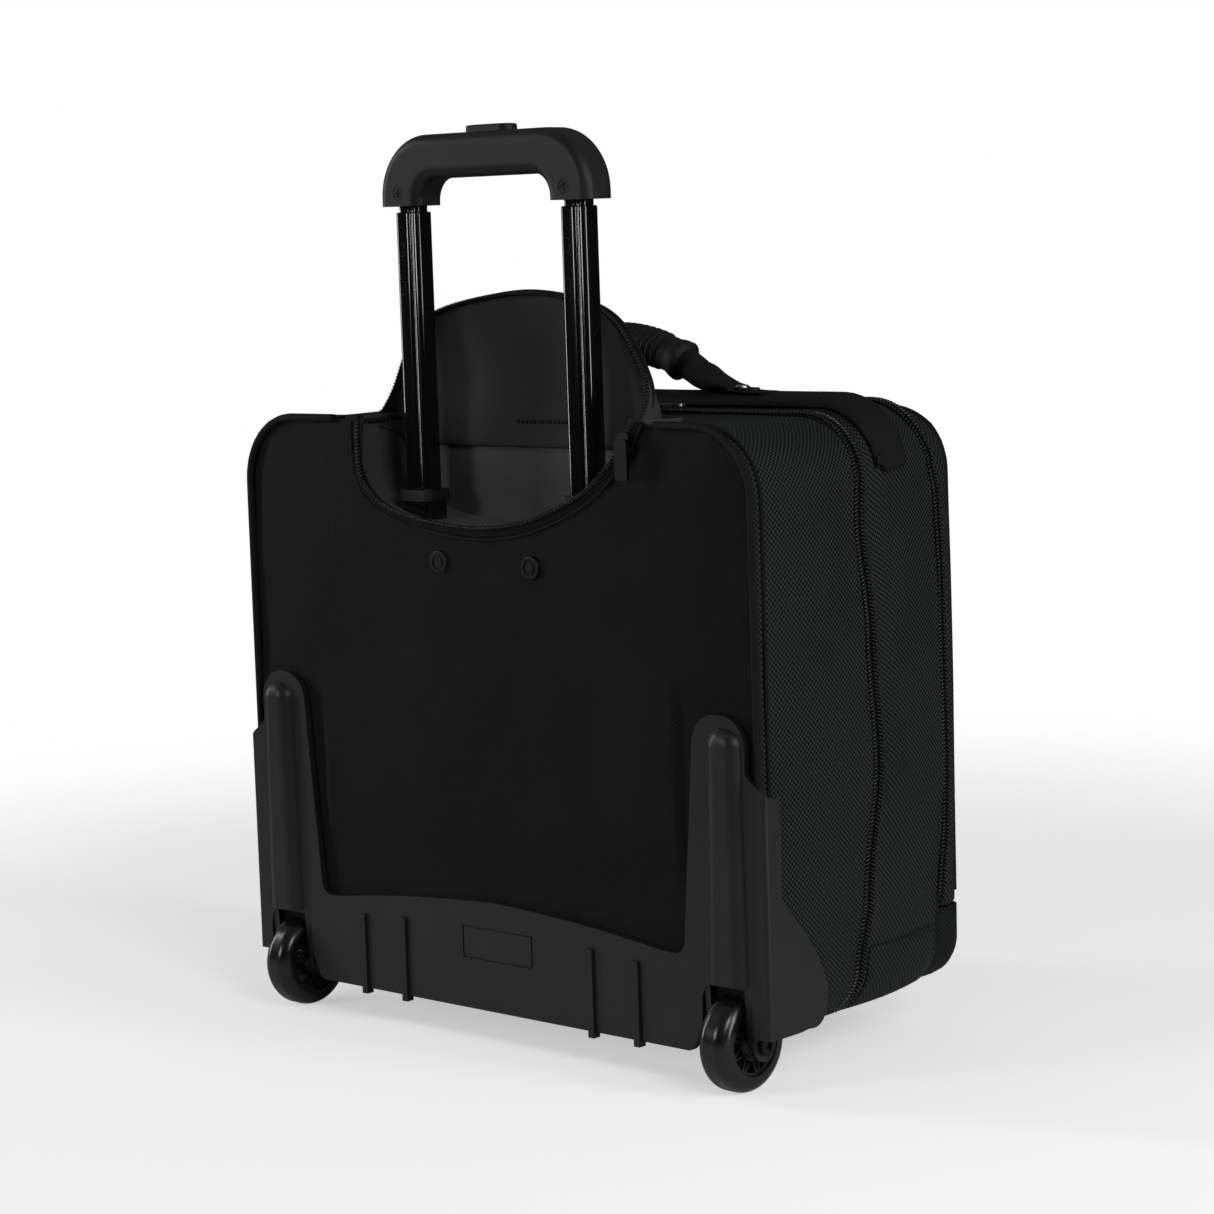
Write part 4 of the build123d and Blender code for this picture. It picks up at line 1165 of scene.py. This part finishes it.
def make_handle_strap():
    """The wide webbing strap that runs over the top and down both sides."""
    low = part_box("handle_strap")[0].z
    rings = []
    for number in range(9):
        depth = (-25 - 29 * (number / 8)) * MM
        lift = 1.2 * MM * (1 if 0 < number < 8 else 0.2)
        ring = []
        for x, z in middle_shape(0.5):
            if z > low:
                where = middle_share(depth, z)
                ring.append(cloth_point(x, z, where, depth, lift))
        rings.append(ring)
    bm = face_away(skin(rings, closed=False), (0, -0.04, 0.3))
    piece = finished("handle_strap_webbing", bm, "webbing", "front_case", replaces=["handle_strap"])
    thicken(piece, 1.4 * MM, 1.0)
    for name, tip in (("left", 0), ("right", -1)):
        end = [Vector(ring[tip]) for ring in rings]
        rows = []
        for drop, out in ((0.6, 0.3), (0.4, 1.5), (-6.0, 1.6), (-6.4, 0.3)):
            rows.append([p + Vector((math.copysign(out, p.x) * MM, 0, -drop * MM)) for p in end])
        bm = face_away(skin(rows, closed=False), (0, -0.04, 0.35))
        hem_piece = finished("strap_hem_" + name, bm, "webbing", "front_case")
        thicken(hem_piece, 0.5 * MM)


def middle_share(depth, z):
    """How far across the middle band a depth lies, at a height."""
    near, far = band_back(z), band_front(z)
    return max(0.0, min(1.0, (depth - near) / (far - near)))


def raised(base, towards, share, depth, lift):
    """A point of the middle band's cloth over base, raised by lift."""
    swell = MIDDLE_SWELL * math.sin(math.pi * share) ** 0.8 + lift
    swell += unevenness(base[0], depth, base[1], 2.0)
    return (base[0] + towards.x * swell, depth, base[1] + towards.z * swell)


def cloth_point(x, z, share, depth, lift):
    """The raised point of the middle band's cloth that is nearest to (x, z)."""
    shape = middle_shape(share)
    base = min(shape, key=lambda spot: (spot[0] - x) ** 2 + (spot[1] - z) ** 2)
    return raised(base, outward(x, z), share, depth, lift)


# ------------------------------------------------------------------------ front pocket


def make_front_panel():
    """The pocket's face: cloth from the pocket zipper, round the front edge and across."""
    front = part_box("front_panel")[0].y
    low, high = 80.8, 390
    start = moved(pocket_zip, -4.6 * MM)

    def side(half, top, puff, depth):
        return case_ring(in_mm(half, low, top, 4, 39), depth, puff * MM, 14.0)

    rings = [
        side(205.5, high, -2.0, moved(start, 0.3 * MM)),
        side(205.8, high, 0.4, start),
        side(206, high, 0.9, moved(start, -1.2 * MM)),
    ]
    for share, half, puff in ((0.35, 206, 1.6), (0.65, 205.5, 1.8), (0.88, 204.5, 1.2)):
        reach = (lambda s: lambda z: start(z) * (1 - s) + front * s)(share)
        rings.append(side(half, high - 2 * share, puff, reach))
    crown = [(3, 0.0), (7, 1.2), (14, 2.0), (26, 2.7), (44, 3.2)]
    crown += [(66, 3.4), (90, 3.3), (112, 3.2), (132, 3.1), (146, 3.0)]
    for inset, out in crown:
        radii = max(4 - inset, 1.5), max(38 - inset, 1.5)
        shape = in_mm(204 - inset, low + inset * 0.98, high - 2 - inset, *radii)
        ring = []
        for x, z in shape:
            ripple = wobble((x, 0, z), 0.075, 1.6 * MM, 15) * min(inset / 30, 1)
            ring.append((x, front - out * MM - ripple, z))
        rings.append(ring)
    bm = skin(rings)
    inner = [e for e in bm.edges if e.is_boundary and all(v.co.y < front for v in e.verts)]
    bmesh.ops.holes_fill(bm, edges=inner, sides=len(rings[0]))
    bm = face_away(bm, (0, 0, MIDDLE_Z))
    piece = finished("front_panel_cloth", bm, "gusset_fabric", "front_pocket", replaces=["front_panel"])
    thicken(piece, 2.0 * MM)
    edge = case_ring(in_mm(203.5, low + 1, high - 2, 4, 38), lambda z: front + 2.0 * MM, 1.6 * MM, 14.0)
    upper = [Vector(p) for p in edge if p[2] > 84 * MM]
    cord = cord_along(resampled(upper, 4 * MM), 1.9 * MM, 8)
    finished("front_piping", cord, "binding", "front_pocket")


def make_front_pouch():
    """The slack low pouch on the pocket's face, with a bound mouth."""
    near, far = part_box("front_pouch")
    half, low, high = far.x / MM, near.z / MM, far.z / MM
    rings = []
    for inset, out in ((0, 0.0), (0.2, 1.2), (1.5, 3.2), (5, 4.6), (11, 5.2), (17, 5.3), (20.5, 5.2)):
        ring = []
        radii = max(5 - inset, 1), max(10 - inset, 1)
        for x, z in in_mm(half - inset, low + inset, high - inset, *radii):
            slack = wobble((x, 0, z), 0.05, 1.5 * MM, 21) * min(inset / 6, 1)
            ring.append((x, far.y - (3.2 + out) * MM - slack, z))
        rings.append(ring)
    bm = skin(rings)
    rim = [e for e in bm.edges if e.is_boundary]
    inner = [e for e in rim if all(abs(v.co.y - far.y) > 6 * MM for v in e.verts)]
    bmesh.ops.holes_fill(bm, edges=inner, sides=len(rings[0]))
    bm = face_away(bm, (0, 0, (low + high) / 2 * MM))
    piece = finished("front_pouch_cloth", bm, "ballistic_fabric", "front_pocket", replaces=["front_pouch"])
    thicken(piece, 1.2 * MM)
    across = range(-int(half) + 12, int(half) - 11, 8)
    mouth = [Vector((x * MM, far.y - 7.6 * MM, (high - 1.5) * MM)) for x in across]
    strip = []
    for drop, out in ((1.4, 0.6), (1.6, -1.2), (-7, -2.0), (-7.2, -0.2)):
        strip.append([p + Vector((0, out * MM, drop * MM)) for p in mouth])
    bm = face_towards(skin(strip, closed=False), -1)
    band = finished("pouch_binding", bm, "webbing", "front_pocket")
    thicken(band, 0.9 * MM)


def make_front_base():
    """The fixed bottom of the pocket: a cloth tray with rounded corners."""
    near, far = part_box("front_base")
    half, top = far.x, far.z
    radius = 28 * MM
    path = []
    for step in range(6):
        path.append((half, top + (near.z + radius - top) * step / 6))
    for step in range(10):
        angle = -math.pi / 2 * step / 10
        path.append((half - radius + radius * math.cos(angle), near.z + radius + radius * math.sin(angle)))
    for step in range(31):
        path.append(((half - radius) * (1 - 2 * step / 30), near.z))
    path += [(-x, z) for x, z in reversed(path[:16])]

    def ring(depth, inset):
        found = []
        for x, z in path:
            nearest_x = max(-half + radius, min(half - radius, x))
            out = Vector((x - nearest_x, z - max(z, near.z + radius)))
            out = out.normalized() if out.length > 1e-6 else Vector((0, -1 if z < top - radius else 0))
            push = wobble((x, depth, z), 0.06, 0.8 * MM, 31) - inset
            if z > near.z + radius:
                out = Vector((math.copysign(1, x), 0))
            found.append((x + out.x * push, depth, z + out.y * push))
        return found

    rings = [ring(far.y + 6 * MM, 1.4 * MM), ring(far.y + 5 * MM, -0.4 * MM), ring(far.y, -0.9 * MM)]
    rings += [ring(-99 * MM, -1.0 * MM), ring(near.y + 6 * MM, -0.3 * MM), ring(near.y + 2.2 * MM, 1.6 * MM)]
    rings.append(ring(near.y + 0.3 * MM, 4.5 * MM))
    outer = rings[-1]
    for share in (0.25, 0.55, 0.85, 1.0):
        shrunk = []
        for x, _, z in outer:
            goal = Vector((x * 0.86, top - 0.4 * MM))
            here = Vector((x, z)).lerp(goal, share)
            shrunk.append((here.x, near.y - 0.4 * MM * share, here.y))
        rings.append(shrunk)
    bm = face_away(skin(rings, closed=False), (0, -0.05, 0.075))
    stands_for = {"slot": "ballistic_fabric", "replaces": ["front_base"]}
    piece = finished("front_base_cloth", bm, "panel_fabric", "front_case", **stands_for)
    thicken(piece, 2.0 * MM)


def make_lower_wrap():
    """The doubled cloth round the bottom of the middle band, with its seam on each side."""
    seam = 72.5 * MM
    rings = []
    for share in (0.03, 0.1, 0.25, 0.4, 0.55, 0.7, 0.85, 0.95):
        ring = []
        for x, z in middle_shape(share):
            if z < seam + 13 * MM and z < 0.1:
                level = min(z, seam)
                depth = along(band_back, band_front, share)(level)
                cloth = raised((x, level), outward(x, level), share, depth, 0.75 * MM)
                ring.append((math.atan2(x, 0.2 - z), cloth))
        rings.append([cloth for _, cloth in sorted(ring, key=lambda spot: spot[0])])
    short = min(len(ring) for ring in rings)
    made = []
    for ring in rings:
        spare = len(ring) - short
        made.append(ring[spare // 2 : len(ring) - (spare - spare // 2)])
    bm = face_away(skin(made, closed=False), (0, -0.05, MIDDLE_Z))
    piece = finished("lower_wrap", bm, "gusset_fabric", "front_case")
    thicken(piece, 0.7 * MM, 1.0)


# ----------------------------------------------------------------------- laptop sleeve


def puffed(piece, cap, voxel=0.005, pressure=4.0):
    """Fills a closed piece with air as cloth, and keeps the result within cap of its shape."""
    remesh = piece.modifiers.new("net", "REMESH")
    remesh.mode = "VOXEL"
    remesh.voxel_size = voxel
    settle(piece)
    before = [v.co.copy() for v in piece.data.vertices]
    cloth = piece.modifiers.new("cloth", "CLOTH")
    cloth.settings.use_pressure = True
    cloth.settings.uniform_pressure_force = pressure
    cloth.settings.effector_weights.gravity = 0
    cloth.settings.quality = 5
    for number in range(1, 21):
        scene.frame_set(number)
    settle(piece)
    scene.frame_set(1)
    for vert, old in zip(piece.data.vertices, before):
        move = vert.co - old
        if move.length > cap:
            vert.co = old + move.normalized() * cap
    return piece


def settle(piece):
    """Applies a piece's modifiers to its mesh."""
    ready = bpy.data.meshes.new_from_object(piece.evaluated_get(bpy.context.evaluated_depsgraph_get()))
    piece.modifiers.clear()
    piece.data = ready


def make_laptop_sleeve():
    """A padded pocket for the laptop: a quilted front pad on a satin wall."""
    near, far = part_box("laptop_sleeve")
    pads = 4
    width = (far.x - near.x) / pads
    for number in range(pads):
        left = near.x + width * number
        bm = bmesh.new()
        bmesh.ops.create_cube(bm, size=1.0)
        size = (width - 1.5 * MM, 4.0 * MM, far.z - near.z - 6 * MM)
        bmesh.ops.scale(bm, vec=size, verts=bm.verts)
        middle = (left + width / 2, near.y + 2.6 * MM, (near.z + far.z) / 2)
        bmesh.ops.translate(bm, vec=middle, verts=bm.verts)
        bmesh.ops.subdivide_edges(bm, edges=bm.edges, cuts=5, use_grid_fill=True)
        replaced = [] if number else ["laptop_sleeve"]
        pad = finished(f"sleeve_pad_{number + 1}", bm, "satin_lining", "rear_case", replaces=replaced)
        puffed(pad, 2.0 * MM, 0.004, 3.0)
        subdivide(pad)
    strip = []
    crown = ((-20, 0), (-10, 0.3), (10, 0.3), (20, 0))
    line = [(44, 322), (30, 323.2), (16, 323), (7, 321.5), (3.4, 316), (3.0, 306), (2.6, 292), (2.8, 280)]
    for depth, z in line:
        strip.append([(x * MM, depth * MM, z * MM + rise * MM) for x, rise in crown])
    bm = face_away(skin(strip, closed=False), (0, 0.04, 0.28))
    strap = finished("sleeve_strap_webbing", bm, "webbing", "rear_case", replaces=["sleeve_strap"])
    thicken(strap, 1.8 * MM)
    subdivide(strap)
    across = (near.x + 3 * MM, near.x / 2, 0, far.x / 2, far.x - 3 * MM)
    rim = [Vector((x, near.y + 2.6 * MM, far.z - 1.5 * MM)) for x in across]
    bm = cord_along(resampled(rim, 8 * MM), 2.6 * MM, 8)
    finished("sleeve_binding", bm, "binding", "rear_case")


# ---------------------------------------------------------------------- trolley tubes


def tube_profile(width, depth, radius, groove):
    """A tube's outline seen from above, from +X +Y round, with a groove on each broad face."""
    half_w, half_d = width / 2, depth / 2
    dents = (
        (0.42, 0), (0.1, 0), (-0.02, 0), (-0.06, 0.12), (-0.1, 0.45), (-0.13, 0.85), (-0.16, 1),
        (-0.23, 1), (-0.26, 0.85), (-0.29, 0.45), (-0.33, 0.12), (-0.37, 0), (-0.42, 0),
    )
    face = [(x * (width - 2 * radius) / 0.84, half_d - dent * groove) for x, dent in dents]

    def corner(cx, cy, start):
        turns = [start + math.pi / 2 * n / 6 for n in range(1, 6)]
        return [(cx + radius * math.cos(turn), cy + radius * math.sin(turn)) for turn in turns]

    side = [(-half_w, (half_d - radius) * (1 - 2 * n / 4)) for n in range(5)]
    points = face + corner(-half_w + radius, half_d - radius, math.pi / 2) + side
    points += corner(-half_w + radius, -half_d + radius, math.pi)
    points += [(-x, -y) for x, y in points]
    return points


def make_tubes():
    """The two stages of the trolley: enamelled tubes with drawn grooves and catch holes."""
    for stage, body, radius in (("middle_tube", "middle_stage", 3.0), ("inner_tube", "grip_stage", 2.6)):
        for side in ("left", "right"):
            node = f"{stage}_{side}"
            near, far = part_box(node)
            middle = (near + far) / 2
            profile = tube_profile(far.x - near.x, far.y - near.y, radius * MM, 0.9 * MM)
            rings = []
            for z, size in ((near.z, 0.96), (near.z + 0.6 * MM, 1), (far.z - 0.7 * MM, 1), (far.z, 0.95)):
                rings.append([(middle.x + x * size, middle.y + y * size, z) for x, y in profile])
            bm = close_ends(skin(rings), len(profile))
            drawn = finished(node + "_drawn", bm, "tube_enamel", body, replaces=[node])
            round_edges(drawn, 0.25 * MM, 2, 25)
            if stage == "middle_tube":
                for number, drop in enumerate((23 * MM, 47 * MM), 1):
                    place = (middle.x + 4.6 * MM, far.y - 0.55 * MM, far.z - drop)
                    make_catch(f"catch_{side}_{number}", place, body)


def make_catch(name, place, body):
    """A sprung catch that shows in the face of a tube."""
    bm = bmesh.new()
    bmesh.ops.create_cube(bm, size=1.0)
    bmesh.ops.scale(bm, vec=(4.6 * MM, 1.6 * MM, 8.5 * MM), verts=bm.verts)
    bmesh.ops.translate(bm, vec=place, verts=bm.verts)
    edges = [e for e in bm.edges if abs(e.verts[0].co.y - e.verts[1].co.y) > 1 * MM]
    round_corners = {"offset": 1.0 * MM, "segments": 3, "profile": 0.5}
    bmesh.ops.bevel(bm, geom=edges, affect="EDGES", material=-1, **round_corners)
    catch = [f for f in bm.faces if f.normal.y > 0.9]
    bmesh.ops.inset_region(bm, faces=catch, thickness=0.7 * MM, depth=-0.5 * MM)
    finished(name, bm, "grip_plastic", body, smooth=False)


# ------------------------------------------------------------------- the record's nodes


def paint_cad_nodes():
    """CAD nodes whose shape is right keep it, and take the finish of their slot."""
    slots = {part["node"]: part["material_slot"] for part in frame["record"]["subparts"]}
    for name, node in frame["nodes"].items():
        node.data.materials.clear()
        node.data.materials.append(FINISHES[slots[name]])


# ------------------------------------------------------------------------------- build

set_camera()
set_studio()
paint_cad_nodes()
make_rear_gusset()
make_middle_gusset()
make_main_zipper()
make_pocket_zipper()
make_back_panel()
make_inner_panels()
make_piping()
make_opening_zipper()
make_recess_lining()
make_flap()
make_carry_handle()
make_handle_strap()
make_front_panel()
make_front_pouch()
make_front_base()
make_lower_wrap()
make_laptop_sleeve()
make_tubes()
